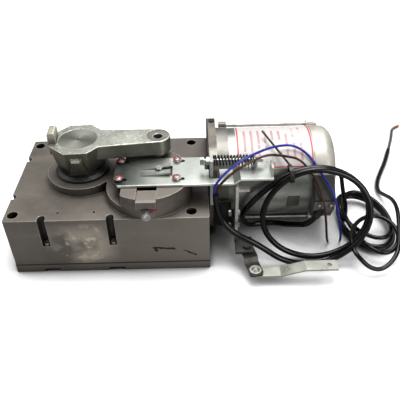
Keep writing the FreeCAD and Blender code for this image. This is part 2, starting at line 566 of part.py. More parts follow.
def build_worm():
    """Motor shaft with a single-start worm sleeve, an end bush and a wall seal."""
    module, long, pitch_r = size("thread_module"), size("worm_long"), size("worm_r")
    lead = math.pi * module
    root_r, tip_r = pitch_r - 1.2 * module, pitch_r + module
    half = 0.18 * lead
    slope = math.tan(math.radians(20))
    low, high = half + (pitch_r - root_r + 0.4) * slope, half - (tip_r - pitch_r) * slope
    helix = Part.makeHelix(lead, long + lead, root_r)
    ridge = [Vec(root_r - 0.4, 0, -low), Vec(tip_r, 0, -high), Vec(tip_r, 0, high),
             Vec(root_r - 0.4, 0, low)]
    sweep = Part.Wire(helix).makePipeShell([Part.makePolygon(ridge + ridge[:1])], True, True)
    room = Part.makeCylinder(tip_r + 1, long, Vec(0, 0, lead / 2))
    core = Part.makeCylinder(root_r, long, Vec(0, 0, lead / 2))
    worm = core.fuse(sweep.common(room)).removeSplitter()
    worm = worm.cut(Part.makeCylinder(size("worm_shaft_r * 0.7 + fit_clear"), long + 2 * lead))
    # The helix starts at +X of its own frame. Turned to lie along the motor axis with that side
    # facing the wheel, a crest stands on the wheel's centre line.
    crests = round((lead / 2 + long / 2) / lead) * lead
    turn = FreeCAD.Rotation(Vec(0, 1, 0), 90)
    facing = FreeCAD.Rotation(Vec(1, 0, 0), -90)
    item = solid("worm", worm)
    start = Vec(size(PINION_X) - crests, size("motor_y"), size("motor_z"))
    item.Placement = FreeCAD.Placement(start, facing.multiply(turn))
    keep("worm", item)
    left = "%s - worm_long / 2 - 15" % PINION_X
    profile = [
        ("0", "0"), ("worm_shaft_r * 0.7", "0"), ("worm_shaft_r * 0.7", "worm_long + 20"),
        ("worm_shaft_r", "worm_long + 20"), ("worm_shaft_r", "%s - ( %s )" % (FLANGE_X, left)),
        ("rotor_shaft_r", "%s - ( %s )" % (FLANGE_X, left)),
        ("rotor_shaft_r", "%s - 6 - ( %s )" % (MOTOR_END, left)),
        ("0", "%s - 6 - ( %s )" % (MOTOR_END, left)),
    ]
    keep("motor_shaft", revolve("motor_shaft", profile, left, "motor_y", "motor_z", "x"))
    keep("worm_end_bush", ring("worm_end_bush", "worm_shaft_r + bush_wall - 1 - fit_clear",
                               "worm_shaft_r * 0.7 + run_clear", "12", PINION_X + " - worm_long / 2 - 16",
                               "motor_y", "motor_z", "x"))
    keep("wall_seal", ring("wall_seal", "wall_bore_r - fit_clear", "worm_shaft_r + run_clear",
                           "side_wall - 1", RIGHT + " - side_wall + 0.5", "motor_y", "motor_z", "x"))


FLANGE_X = "( right_end + flange_seal )"
BELL_X = "( %s + flange_thick )" % FLANGE_X
STATOR_X = "( %s + front_bell )" % BELL_X
REAR_X = "( %s + stator_long )" % STATOR_X
MOTOR_END = "( %s + rear_bell )" % REAR_X
CORE_X = "( %s + ( stator_long - core_long ) / 2 )" % STATOR_X


def rounded_square(name, x, thick, *holes):
    """The flange's outline, square with large round corners, with round holes."""
    low_y, high_y = "motor_y - flange_half", "motor_y + flange_half"
    low_z, high_z = "motor_z - flange_half", "motor_z + flange_half"
    body = pad(name, "x", x, thick, [(low_y, low_z), (high_y, low_z), (high_y, high_z), (low_y, high_z)],
               *holes)
    reach = size("flange_half") - 0.1

    def corner(edge):
        centre = edge.BoundBox.Center
        along = edge.BoundBox.XLength > 0.5 and edge.BoundBox.YLength + edge.BoundBox.ZLength < 0.01
        return along and min(abs(centre.y - size("motor_y")), abs(centre.z - size("motor_z"))) > reach

    return round_edges(body, "flange_corner", corner)


def build_motor():
    """Flange, end bells, stator with windings, rotor, bearings and tie rods."""
    axis = ("motor_y", "motor_z")
    screw_holes = [(y, z, "screw_r + fit_clear") for y, z in FLANGE_SCREWS]
    keep("flange_gasket", rounded_square("flange_gasket", RIGHT, "flange_seal", (*axis, "bearing_r + 1"),
                                         *screw_holes))
    keep("motor_flange", rounded_square("motor_flange", FLANGE_X, "flange_thick",
                                        (*axis, "bearing_r + fit_clear"), *screw_holes))
    screws = []
    for i, (y, z) in enumerate(FLANGE_SCREWS):
        shank = cylinder("flange_shank%d" % i, "screw_r", "side_wall - 2 + flange_seal + flange_thick",
                         RIGHT + " - side_wall + 2", y, z, "x")
        head = cylinder("flange_head%d" % i, "screw_head_r", "screw_head_high", BELL_X, y, z, "x")
        screws.append(fuse("flange_screw%d" % i, shank, head))
    keep("flange_screws", group("flange_screws", *screws))
    keep("flange_plug", cylinder("flange_plug", "plug_r", "plug_high", FLANGE_X + " + flange_thick / 2",
                                 "motor_y + flange_half - flange_corner", "motor_z + flange_half"))
    ties = []
    for turn in ("tie_angle", "tie_angle + 180"):
        reach = "( motor_r + 0.6 + tie_r + tie_gap )"
        ties.append(("motor_y + %s * cos( ( %s ) * 1 deg )" % (reach, turn),
                     "motor_z + %s * sin( ( %s ) * 1 deg )" % (reach, turn)))
    lugs = [cylinder("front_lug%d" % i, "tie_lug_r", "front_bell - 4", BELL_X + " + 4", y, z, "x")
            for i, (y, z) in enumerate(ties)]
    ways = [cylinder("front_tie_way%d" % i, "tie_r + fit_clear", "front_bell", BELL_X, y, z, "x")
            for i, (y, z) in enumerate(ties)]
    form = cylinder("front_bell_form", "motor_r + 0.6", "front_bell", BELL_X, *axis, "x")
    room = cylinder("front_bell_room", "motor_r - bell_wall", "front_bell", BELL_X, *axis, "x")
    keep("front_bell", cut("front_bell", fuse("front_bell_mass", form, *lugs), room, *ways))
    keep("stator_shell", ring("stator_shell", "motor_r", "motor_r - shell_wall", "stator_long", STATOR_X,
                              *axis, "x"))
    keep("stator_core", ring("stator_core", "motor_r - shell_wall - fit_clear", "core_bore_r", "core_long",
                             CORE_X, *axis, "x"))
    coils = [
        ring("winding%d" % i, "motor_r - shell_wall - 3", "core_bore_r + 3", "15", x, *axis, "x")
        for i, x in enumerate((CORE_X + " - 15", CORE_X + " + core_long"))
    ]
    keep("stator_windings", group("stator_windings", *coils))
    keep("rotor_core", ring("rotor_core", "core_bore_r - air_gap", "rotor_shaft_r + fit_clear", "core_long",
                            CORE_X, *axis, "x"))
    bearings = [
        ring("bearing%d" % i, "bearing_r", "rotor_shaft_r + run_clear", "bearing_wide", x, *axis, "x")
        for i, x in enumerate((FLANGE_X + " - 0.5", MOTOR_END + " - bell_wall - bearing_wide"))
    ]
    keep("motor_bearings", group("motor_bearings", *bearings))
    round_r = size("rear_round")
    outer, length, wall = size("motor_r + 0.6"), size("rear_bell"), size("bell_wall")
    corner = math.sqrt(0.5) * round_r
    edges = [
        Part.makeLine(Vec(outer - wall, 0, 0), Vec(outer, 0, 0)),
        Part.makeLine(Vec(outer, 0, 0), Vec(outer, 0, length - round_r)),
        Part.Arc(Vec(outer, 0, length - round_r),
                 Vec(outer - round_r + corner, 0, length - round_r + corner),
                 Vec(outer - round_r, 0, length)).toShape(),
    ]
    inner_r, seat = size("bearing_r + fit_clear"), length - wall - size("bearing_wide")
    ease = round_r / 2
    path = [(outer - round_r, length), (0, length), (0, length - wall), (inner_r, length - wall),
            (inner_r, seat), (inner_r + wall, seat), (inner_r + wall, length - wall),
            (outer - wall - ease, length - wall), (outer - wall, length - wall - ease), (outer - wall, 0)]
    corners = [Vec(r, 0, s) for r, s in path]
    edges += [Part.makeLine(a, b) for a, b in zip(corners, corners[1:])]
    cup = Part.Face(Part.Wire(edges)).revolve(Vec(0, 0, 0), Vec(0, 0, 1), 360)
    cup = place(solid("rear_cup", cup), REAR_X, *axis, "x")
    lugs = [cylinder("rear_lug%d" % i, "tie_lug_r", "9", REAR_X, y, z, "x")
            for i, (y, z) in enumerate(ties)]
    ways = [cylinder("rear_tie_way%d" % i, "tie_r + fit_clear", "9", REAR_X, y, z, "x")
            for i, (y, z) in enumerate(ties)]
    room = cylinder("rear_lug_room", "motor_r + 0.6 - bell_wall / 2", "9", REAR_X, *axis, "x")
    ears = [cut("rear_ear%d" % i, lug, room) for i, lug in enumerate(lugs)]
    keep("rear_bell", cut("rear_bell", fuse("rear_mass", cup, *ears), *ways))
    rods = []
    for i, (y, z) in enumerate(ties):
        rod = cylinder("tie_shank%d" % i, "tie_r", "front_bell - 4 + stator_long + 9 + 2", BELL_X + " + 4",
                       y, z, "x")
        head = cylinder("tie_head%d" % i, "tie_r + tie_gap - 0.1", "3.4", REAR_X + " + 9", y, z, "x")
        rods.append(fuse("tie_rod%d" % i, rod, head))
    keep("tie_rods", group("tie_rods", *rods))


def build_crank():
    """Forged crank: eight-sided drafted hub, tapered arm, upright stop and a wedge on the front."""
    flat, high = size("hub_flat"), size("hub_high")
    low_flat = flat - size("hub_draft")
    top, foot = size("crank_top"), size("crank_top - hub_high")

    def octagon(apothem, z):
        reach = apothem / math.cos(math.pi / 8)
        corners = [Vec(reach * math.cos(a), reach * math.sin(a), z)
                   for a in (math.pi / 8 + math.pi / 4 * i for i in range(8))]
        return Part.makePolygon(corners + corners[:1])

    waist = foot + size("hub_bevel_high")
    bevel = Part.makeLoft([octagon(low_flat - size("hub_bevel"), foot), octagon(low_flat, waist)], True)
    hub = bevel.fuse(Part.makeLoft([octagon(low_flat, waist), octagon(flat, top)], True))
    reach, tip_r, thick = size("arm_reach"), size("arm_tip_r"), size("arm_thick")
    root = size("arm_root") / 2
    arm_foot = top - thick
    lean = math.asin((root - tip_r) / reach)
    tip_x, tip_y = reach + tip_r * math.sin(lean), tip_r * math.cos(lean)
    sides = [Vec(0, root, arm_foot), Vec(0, -root, arm_foot), Vec(tip_x, -tip_y, arm_foot),
             Vec(tip_x, tip_y, arm_foot)]
    edges = [
        Part.makeLine(sides[0], sides[1]), Part.makeLine(sides[1], sides[2]),
        Part.Arc(sides[2], Vec(reach + tip_r, 0, arm_foot), sides[3]).toShape(),
        Part.makeLine(sides[3], sides[0]),
    ]
    arm = Part.Face(Part.Wire(edges)).extrude(Vec(0, 0, thick))
    tip_boss = Part.makeCylinder(size("tip_boss_r"), size("tip_boss_high"),
                                 Vec(reach, 0, arm_foot - size("tip_boss_high")))
    stop_wide, stop_long = size("stop_wide"), size("stop_long")
    stop_foot = top - 12
    stop = Part.makeBox(stop_wide, stop_long, 12 + size("stop_high"),
                        Vec(-flat - 1.2, -stop_long / 2, stop_foot))
    crown = [edge for edge in stop.Edges if abs(edge.BoundBox.ZMin - edge.BoundBox.ZMax) < 0.01
             and edge.BoundBox.ZMax > top and edge.BoundBox.XLength < 0.01]
    stop = stop.makeFillet(2.5, crown)
    ledge = foot + size("wedge_high")

    def wedge_section(wide, deep, z):
        corners = [Vec(-wide / 2, 0, z), Vec(wide / 2, 0, z), Vec(wide / 2, -deep, z),
                   Vec(-wide / 2, -deep, z)]
        return Part.makePolygon(corners + corners[:1])

    wedge = Part.makeLoft([wedge_section(size("wedge_foot"), low_flat + size("wedge_foot_proud"), foot),
                           wedge_section(size("wedge_top"), low_flat + size("wedge_proud"), ledge)], True)
    arm_form = arm.fuse([tip_boss])
    below = [edge for edge in arm_form.Edges if abs(edge.BoundBox.ZMin - top) < 0.01
             and edge.BoundBox.ZLength < 0.01 and edge.BoundBox.XMax > reach / 2]
    arm_form = arm_form.makeFillet(1.2, below)
    form = hub.fuse([arm_form, stop, wedge])
    form = form.cut(Part.makeCylinder(size("shaft_r + fit_clear"), high + 40, Vec(0, 0, foot - 1)))
    form = form.cut(Part.makeCylinder(size("arm_hole_r"), thick + 20, Vec(reach, 0, arm_foot - 10)))
    spot = Part.makeCylinder(size("spot_r"), 10, Vec(reach, 0, top - size("spot_deep")))
    item = solid("crank_arm", form.cut(spot).removeSplitter())
    item.setExpression("Placement.Rotation.Angle", bind("arm_turn * 1 deg"))
    item.Placement = FreeCAD.Placement(Vec(0, 0, 0), FreeCAD.Rotation(Vec(0, 0, 1), size("arm_turn")))
    keep("crank_arm", item)


PLATE_Z = "( %s + plate_gap )" % TOWER_TOP
PLATE_TOP = "( %s + plate_gap + plate_thick )" % TOWER_TOP
RAISED_Z = "( %s + plate_gap + step_rise )" % TOWER_TOP
RAISED_TOP = "( %s + plate_gap + step_rise + plate_thick )" % TOWER_TOP


def bent_strip(stations, thick):
    """Closed side view of a strip that follows (run, height) stations of its lower face."""
    lower = [(x, z) for x, z in stations]
    upper = [(x, "%s + %s" % (z, thick)) for x, z in reversed(stations)]
    return lower + upper


def build_release():
    """Sliding release plate with ramps and an upright tab, its studs, pin, spring, rod and ear."""
    flat_outline = [
        ("plate_left + plate_chamfer", "plate_front"), ("step_x", "plate_front"),
        ("step_x", "plate_neck_y"),
        ("plate_neck_x", "plate_neck_y"), ("plate_neck_x", "plate_back"), ("plate_left", "plate_back"),
        ("plate_left", "plate_front + plate_chamfer"),
    ]
    flat = pad("plate_flat", "z", PLATE_Z, "plate_thick", flat_outline)
    side = bent_strip([("step_x", PLATE_Z), ("step_x + step_run", RAISED_Z), ("plate_end", RAISED_Z)],
                      "plate_thick")
    raised = pad("plate_raised", "y", "plate_neck_y", "plate_neck_y - plate_front", side)
    lip_outline = [
        ("plate_end - plate_thick", RAISED_Z), ("plate_end", RAISED_Z),
        ("plate_end", RAISED_TOP + " + lip_high"),
        ("plate_end - plate_thick", RAISED_TOP + " + lip_high"),
    ]
    lip = pad("plate_lip", "y", "plate_neck_y - 4", "plate_neck_y - plate_front - 8", lip_outline)
    tab = box("plate_tab", "plate_thick", "tab_wide", "spring_z + 6 - " + RAISED_Z, "tab_x",
              "spring_y - tab_wide / 2", RAISED_Z)
    tab_foot = box("tab_foot", "10", "tab_wide / 2 + spring_y - plate_neck_y + 6", "plate_thick",
                   "tab_x - 4", "plate_neck_y - 6", RAISED_Z)
    prongs = []
    for i, (low, high) in enumerate((("ramp_front", "pin_y - fork_slot / 2"),
                                     ("pin_y + fork_slot / 2", "ramp_back"))):
        run = [("ramp_left", PLATE_Z), ("ramp_right", PLATE_Z + " + ramp_rise")]
        prongs.append(pad("prong%d" % i, "y", high, "( %s ) - ( %s )" % (high, low),
                          bent_strip(run, "plate_thick")))
    window = box("fork_window", "ramp_right + 2 - fork_start", "ramp_back - ramp_front", "plate_thick",
                 "fork_start", "ramp_front", PLATE_Z)
    slots = []
    for i, (x, y) in enumerate(STUDS):
        slots.append(cylinder("slot_end%d" % i, "stud_r + stud_clear", "plate_thick", x, y, PLATE_Z))
        slots.append(cylinder("slot_far%d" % i, "stud_r + stud_clear", "plate_thick", x + " + plate_travel",
                              y, PLATE_Z))
        slots.append(box("slot_run%d" % i, "plate_travel", "2 * ( stud_r + stud_clear )", "plate_thick", x,
                         y + " - stud_r - stud_clear", PLATE_Z))
    ear_way = box("ear_way", "ear_thick + plate_travel + 2", "18", "plate_thick", "ear_x - 1",
                  "plate_neck_y - 16", PLATE_Z)
    rod_way = cylinder("rod_way", "rod_r + joint_gap", "30", "tab_x - 5", "spring_y", "spring_z", "x")
    base = cut("plate_blank", flat, window, ear_way, *slots)
    form = fuse("plate_form", base, raised, lip, tab, tab_foot, *prongs)
    fork = box("fork_slot", "ramp_right - fork_start + 2", "fork_slot", "20", "fork_start",
               "pin_y - fork_slot / 2", PLATE_Z)
    keep("release_plate", cut("release_plate", form, rod_way, fork))

    studs = []
    for i, (x, y) in enumerate(STUDS):
        seat = stud_seat(i)
        neck = PLATE_TOP + " + stud_clear - ( " + seat + " )"
        parts = [
            cylinder("stud_neck%d" % i, "stud_r", neck + " + 8", x, y, seat + " - 8"),
            cylinder("stud_washer%d" % i, "stud_washer_r", "0.6", x, y, PLATE_TOP + " + stud_clear"),
            cone("stud_head%d" % i, "stud_head_r", "stud_head_r * 0.7", "stud_head_high", x, y,
                 PLATE_TOP + " + stud_clear + 0.6"),
        ]
        studs.append(fuse("stud%d" % i, *parts))
    keep("guide_studs", group("guide_studs", *studs))

    climb = "ramp_rise * ( pin_x - ramp_left ) / ( ramp_right - ramp_left )"
    crest = "( %s + %s + plate_thick + 1 )" % (PLATE_Z, climb)
    shank = cylinder("pin_shank", "pin_r", crest + " - ( %s ) + 18" % TOWER_TOP, "pin_x", "pin_y",
                     TOWER_TOP + " - 18")
    head = cylinder("pin_head", "pin_head_r", "pin_head_high", "pin_x", "pin_y", crest)
    keep("release_pin", fuse("release_pin", shank, head))

    block_z = TOWER_TOP + " - slot_floor"
    keep("slot_block", box("slot_block", "slot_wide - 2 * block_clear", "block_long",
                           "slot_floor - block_drop",
                           IDLER_X + " - slot_wide / 2 + block_clear", IDLER_Y + " - tower_r - block_proud",
                           block_z))
    screw_z = TOWER_TOP + " - slot_floor - 6"
    screw_y = IDLER_Y + " - tower_r"
    bolt = fuse("adjuster_bolt",
                cylinder("adjuster_shank", "adjuster_r", "adjuster_long - 4", IDLER_X, screw_y + " - 6",
                         screw_z, "y"),
                cylinder("adjuster_head", "adjuster_head_r", "3.2", IDLER_X, screw_y + " - 9.2", screw_z,
                         "y"))
    keep("adjusting_screw", bolt)
    keep("adjuster_locknut", nut("adjuster_locknut", "locknut_across", "locknut_thick",
                                 "adjuster_r + fit_clear",
                                 IDLER_X, screw_y + " - locknut_thick - 0.2", screw_z, "y"))

    ear_foot = box("ear_foot", "ear_thick", "bracket_thick * 4 + 1", "spring_z + 7 - 62", "ear_x",
                   "motor_y - flange_half - joint_gap - bracket_thick * 4 - 1", "62")
    ear_head = box("ear_head", "ear_thick", "14", "14", "ear_x", "spring_y - 7", "spring_z - 7")
    ear_hole = cylinder("ear_hole", "rod_r + fit_clear", "ear_thick", "ear_x", "spring_y", "spring_z", "x")
    keep("spring_bracket", cut("spring_bracket", fuse("ear_form", ear_foot, ear_head), ear_hole))
    rod = fuse("rod_form",
               cylinder("rod_shank", "rod_r", "rod_end - ear_x + 8", "ear_x - 8", "spring_y", "spring_z",
                        "x"),
               cylinder("rod_head", "rod_r + 2", "4", "ear_x - 10", "spring_y", "spring_z", "x"))
    keep("spring_rod", rod)
    keep("rod_nut", nut("rod_nut", "8", "3.5", "rod_r + fit_clear", "ear_x - 3.6", "spring_y", "spring_z",
                        "x"))
    start, wire, coil_r = "ear_x + ear_thick + joint_gap", size("spring_wire_r"), size("spring_r")
    long = size("tab_x - ear_x - ear_thick - 2 * joint_gap") - 2 * wire
    helix = Part.makeHelix(long / size("spring_turns"), long, coil_r)
    ring_wire = Part.Wire(Part.makeCircle(wire, Vec(coil_r, 0, 0), Vec(0, 1, 0)))
    coil = Part.Wire(helix).makePipeShell([ring_wire], True, True)
    keep("release_spring", place(solid("release_spring", coil), start + " + spring_wire_r", "spring_y",
                                 "spring_z", "x"))


def build_link():
    """Bracket on the flange, strut plate with a foot lug, swinging strap and joggled link."""
    side_y = "flange_side"
    web = box("bracket_web", "strut_x - ear_x - ear_thick - 1", "bracket_thick", "34",
              "ear_x + ear_thick + 1", side_y + " - bracket_thick", "24")
    wing = box("bracket_wing", "bracket_thick", "16", "34", "strut_x - bracket_thick", side_y + " - 16",
               "24")
    keep("strut_bracket", fuse("strut_bracket", web, wing))
    blade = box("strut_blade", "bracket_thick", "strut_back - strut_front", "strut_top - strut_foot",
                "strut_x", "strut_front", "strut_foot")
    lug_wide = "lug_end - strut_x"
    lug = box("strut_lug", lug_wide, "strut_front + 6 - lug_front", "bracket_thick", "strut_x", "lug_front",
              "strut_foot")
    tab = box("strut_tab", "11", "8", "2", "strut_x + bracket_thick", "strut_front", "strut_top - 4")
    lug_hole = cylinder("lug_hole", "rivet_r + run_clear", "20", "lug_pin_x", "lug_pin_y", "strut_foot - 8")
    keep("strut_plate", cut("strut_plate", fuse("strut_form", blade, lug, tab), lug_hole))
    bolts = []
    for i, z in enumerate(("32", "50")):
        y = side_y + " - 13"
        bolts.append(cylinder("strut_bolt_left%d" % i, "screw_head_r", "3", "strut_x - bracket_thick - 3",
                              y, z, "x"))
        bolts.append(cylinder("strut_bolt_right%d" % i, "screw_head_r", "3", "strut_x + bracket_thick", y,
                              z, "x"))
    keep("strut_bolts", group("strut_bolts", *bolts))

    turn_z = "strut_foot - joint_gap - link_thick"
    low_z = turn_z + " - strap_drop"
    end_x, end_y = "lug_pin_x + strap_reach_x", "lug_pin_y + strap_reach_y"
    run = math.hypot(size("strap_reach_x"), size("strap_reach_y"))
    half, thick, drop = size("strap_wide") / 2, size("link_thick"), size("strap_drop")
    side = [Vec(-half, 0, 0), Vec(run * 0.45, 0, 0), Vec(run * 0.55, 0, -drop), Vec(run + half, 0, -drop),
            Vec(run + half, 0, thick - drop), Vec(run * 0.55 + 1, 0, thick - drop),
            Vec(run * 0.45 + 1, 0, thick), Vec(-half, 0, thick)]
    strap = Part.Face(Part.makePolygon(side + side[:1])).extrude(Vec(0, 2 * half, 0))
    strap.translate(Vec(0, -half, 0))

    def end_corner(edge):
        span = edge.BoundBox
        on_end = span.XMin < 0 or span.XMin > run
        return on_end and span.ZLength > thick / 2 and span.XLength + span.YLength < 0.01

    strap = strap.makeFillet(half * 0.6, [edge for edge in strap.Edges if end_corner(edge)])
    pin_r = size("rivet_r")
    far_hole = Part.makeCylinder(pin_r + size("run_clear"), 30, Vec(run, 0, -15))
    strap = strap.cut(far_hole)
    # The near pin is riveted into the strap and turns in the lug's hole.
    pin = Part.makeCylinder(pin_r, size("bracket_thick + joint_gap * 2") + thick, Vec(0, 0, 0))
    cap = Part.makeCylinder(pin_r + 1.6, 1.8, Vec(0, 0, size("bracket_thick + joint_gap * 2") + thick))
    strap = strap.fuse([pin, cap])
    item = solid("release_strap", strap)
    angle = math.degrees(math.atan2(size("strap_reach_y"), size("strap_reach_x")))
    lean = FreeCAD.Rotation(Vec(0, 0, 1), angle)
    item.Placement = FreeCAD.Placement(Vec(size("lug_pin_x"), size("lug_pin_y"), size(turn_z)), lean)
    keep("release_strap", item)

    start = "%s - link_wide / 2" % end_x
    foot_z = low_z + " - joint_gap - link_thick"
    low_end = "%s + link_low" % end_x
    ramp_end = "%s + link_low + link_ramp" % end_x
    far_end = "%s + link_low + link_ramp + link_high" % end_x
    high_z = foot_z + " + link_rise"
    strip = bent_strip([(start, foot_z), (low_end, foot_z), (ramp_end, high_z), (far_end, high_z)],
                       "link_thick")
    link = pad("link_strip", "y", end_y + " + link_wide / 2", "link_wide", strip)
    eye = cylinder("link_eye", "link_hole_r", "20", far_end + " - link_hole_in", end_y, high_z + " - 8")
    pivot = [
        cylinder("pivot_pin", "rivet_r", "link_thick * 2 + joint_gap * 2 + 0.2", end_x, end_y, foot_z),
        cylinder("pivot_washer", "rivet_r + 3.2", "0.8", end_x, end_y, low_z + " + link_thick + joint_gap"),
        cone("pivot_head", "rivet_r + 1.4", "rivet_r * 0.7", "1.8", end_x, end_y,
             low_z + " + link_thick + joint_gap + 0.8"),
        cylinder("pivot_tail", "rivet_r + 1", "2", end_x, end_y, foot_z + " - 2"),
    ]
    keep("joggled_link", fuse("joggled_link", cut("link_blank", link, eye), *pivot))


def build_terminal_box():
    """Wedge-shaped terminal box on the motor's side, split at a seam, with the lead's grommet."""
    surface = "( motor_r + 0.6 + box_seat )"
    halves = {
        "terminal_cover": [("motor_y - motor_r + 12", "box_seam_z"), ("box_front", "box_seam_z"),
                           ("box_front", "box_seam_z + 3"), ("motor_y - motor_r + 6", "box_top_z"),
                           ("motor_y - motor_r + 12", "box_top_z")],
        "terminal_base": [("motor_y - motor_r + 12", "box_foot_z"), ("box_front + 10", "box_foot_z"),
                          ("box_front", "box_seam_z - 10"), ("box_front", "box_seam_z - 0.4"),
                          ("motor_y - motor_r + 12", "box_seam_z - 0.4")],
    }
    for name, outline in halves.items():
        wedge = pad(name + "_wedge", "x", "box_left", "box_wide", outline)
        hug = cylinder(name + "_hug", surface, "box_wide + 2", "box_left - 1", "motor_y", "motor_z", "x")
        way = solid(name + "_way", stub(LEAD_GROMMET, size("lead_r + 2.2 + fit_clear"),
                                        size("lead_r + 1 + fit_clear")))
        keep(name, cut(name, wedge, hug, way))
    grommets = [
        solid("lead_grommet", stub(LEAD_GROMMET, size("lead_r + 2.2"), size("lead_r + 1"))),
        cone("signal_grommet", "signal_r + 2.4", "signal_r + 1", "6", MOTOR_END,
             "motor_y - 16.9", "motor_z + 5.4", "x"),
    ]
    keep("cable_grommets", group("cable_grommets", *grommets))


def stub(ends, foot_r, top_r):
    """A tapered round stub from one point to another."""
    foot, top = (Vec(*end) for end in ends)
    return Part.makeCone(foot_r, top_r, (top - foot).Length, foot, top - foot)


# Routes of the loose leads, chosen by hand
LEAD_GROMMET = [
    [size(value) for value in end]
    for end in (("box_left + 9.5", "box_front + 4.4", "box_seam_z - 12"),
                ("box_left + 2.75", "box_front + 0.2", "box_seam_z - 20.7"))
]
LEAD_ROUTE = [
    (253.75, -44.8, 41.3), (247, -49, 32.6), (238, -47, 19), (226, -35, 9.5), (212, -22, 4.2),
    (196, -17, 4.6), (182.5, -22, 12), (175.5, -29, 27), (175.5, -37, 43), (182, -44, 61),
    (197, -41.5, 77), (222.2, -31.2, 92.0), (260.9, -29.8, 97.2), (293.9, -36.5, 78.7),
    (306.0, -50.8, 48.4), (291.4, -64.7, 18.8), (256.9, -71.8, 4.2), (218.8, -66.6, 10.5),
    (194.8, -59.8, 35.6), (194.8, -50.2, 66.4), (219.7, -40.2, 93.4), (254.8, -37.8, 100.4),
    (288.8, -43.0, 85.6), (304.2, -57.3, 57.4), (293.7, -72.3, 27.7), (264.2, -81.3, 6.8),
    (234, -80, 4.4), (212, -78, 12), (196, -76, 25), (180, -73, 35), (164, -69, 42), (151, -64, 55),
    (144.5, -60.5, 73), (144.5, -60.5, 89),
]
BLUE_ROUTE = [
    (143, -60.5, 89), (143, -60.5, 97), (148, -59.5, 106), (158, -54, 114), (172, -46, 120),
    (188, -36, 121.5), (203, -18, 115), (216, -6, 109.5), (228, -4.5, 109), (240, -9, 105),
    (249, -16, 98), (256, -24.6, 89.6), (262, -34, 83), (268.5, -43.5, 75.5), (273, -51, 62),
    (278, -51.5, 43), (283, -50, 24), (285.5, -47.5, 8), (286, -44, 2),
]
BROWN_ROUTE = [
    (146, -60.5, 89), (146, -60.5, 95.5), (151, -59, 102), (163, -53, 110.5), (180, -47, 118),
    (197, -40.5, 121.5), (211, -31, 114), (222, -23, 106.5), (232, -19, 101.5), (240, -20.5, 96),
    (247, -27, 88), (253, -37, 81), (258, -47, 71), (261, -51.5, 58), (264, -52, 42), (267, -51, 25),
    (270, -48, 9), (273, -44.5, 2),
]
SIGNAL_ROUTE = [
    (283.3, 3, 64), (289.5, 3, 64), (291.5, -1, 51.5), (294.5, -4.5, 38.5), (298.5, -7, 24), (300, -8, 9),
]
SIGNAL_TAIL = [(347, 14, 9), (347.5, 42, 3), (357, 66, 2.6), (370.5, 89, 2.6), (384, 113.5, 2.6),
               (396, 141, 2.6)]
CORE_ROUTE = [(396, 141, 2.6), (404.4, 160.25, 2.6), (413, 181.5, 2), (419.5, 202, 2), (431, 206, 2)]


def tube(name, route, radius):
    """A round tube along straight runs joined by the largest tangent arcs; prints its bends."""
    points = [Vec(*point) for point in route]
    edges, bends, start = [], [], points[0]
    for before, corner, after in zip(points, points[1:], points[2:]):
        back, ahead = before - corner, after - corner
        turn = math.pi - back.getAngle(ahead)
        setback = 0.45 * min(back.Length, ahead.Length)
        bends.append(setback / math.tan(turn / 2))
        into = corner + back.normalize() * setback
        out = corner + ahead.normalize() * setback
        middle = (into + out) * 0.5
        sag = bends[-1] * (1 / math.cos(turn / 2) - 1)
        crest = corner + (middle - corner).normalize() * sag
        edges += [Part.LineSegment(start, into).toShape(), Part.Arc(into, crest, out).toShape()]
        start = out
    edges.append(Part.LineSegment(start, points[-1]).toShape())
    path = Part.Wire(edges)
    section = Part.Wire(Part.makeCircle(radius, points[0], points[1] - points[0]))
    shape = path.makePipeShell([section], True, False)
    ratio = shape.Volume / (math.pi * radius ** 2 * path.Length)
    print("%s length %.0f, volume ratio %.4f, tightest bend %.1f diameters"
          % (name, path.Length, ratio, min(bends) / (2 * radius)))
    return keep(name, solid(name, shape))


def build_leads():
    """Motor lead in a loose loop, its two stripped wires, and the signal lead in a loose bunch."""
    tube("motor_lead", LEAD_ROUTE, size("lead_r"))
    tube("blue_wire", BLUE_ROUTE, size("wire_r"))
    tube("brown_wire", BROWN_ROUTE, size("wire_r"))
    tube("signal_lead", SIGNAL_ROUTE, size("signal_r"))
    tube("signal_tail", SIGNAL_TAIL, size("signal_r"))
    tube("signal_core", CORE_ROUTE, size("core_r"))
    high = 7.5 * size("signal_r")
    rings = []
    for reach_x, reach_y in ((37, 60), (22, 43)):
        oval = Part.Ellipse(Vec(326, -26, 0), reach_y, reach_x)
        oval.rotate(FreeCAD.Placement(Vec(326, -26, 0), FreeCAD.Rotation(Vec(0, 0, 1), 90), Vec(0, 0, 0)))
        rings.append(Part.Face(Part.Wire(oval.toShape())).extrude(Vec(0, 0, high)))
    keep("signal_coil", solid("signal_coil", rings[0].cut(rings[1])))
    centre, along = Vec(224, -35.9, 93.6), Vec(38, 2, 5).normalize()
    wide = size("tie_wide")
    band = Part.makeCylinder(9.6, wide, centre - along * (wide / 2), along)
    band = band.cut(Part.makeCylinder(8.6, wide, centre - along * (wide / 2), along))
    tail = Part.makeCylinder(1.2, 52, centre + Vec(-1, 6, 7.2), Vec(-27, 46, 17))
    keep("cable_tie", solid("cable_tie", band.fuse(tail)))


for build in (build_housing, build_base, build_output, build_train, build_worm, build_motor, build_crank,
              build_release, build_link, build_terminal_box, build_leads):
    build()
doc.recompute()

for item in doc.Objects:
    if "Invalid" in item.State or "Error" in item.State:
        raise RuntimeError("%s did not rebuild: %s" % (item.Label, item.State))
for name, item in SUBPARTS.items():
    if item.Shape.isNull() or not item.Shape.isValid() or not item.Shape.Solids:
        raise RuntimeError(name + " has no valid solid")

os.makedirs("parts", exist_ok=True)
for name, item in SUBPARTS.items():
    item.Shape.exportStep("parts/%s.step" % name)
    print(name, len(item.Shape.Solids), round(item.Shape.Volume))
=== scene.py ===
"""Looks of the gear motor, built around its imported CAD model. Lengths are in mm unless noted."""

import json
import math

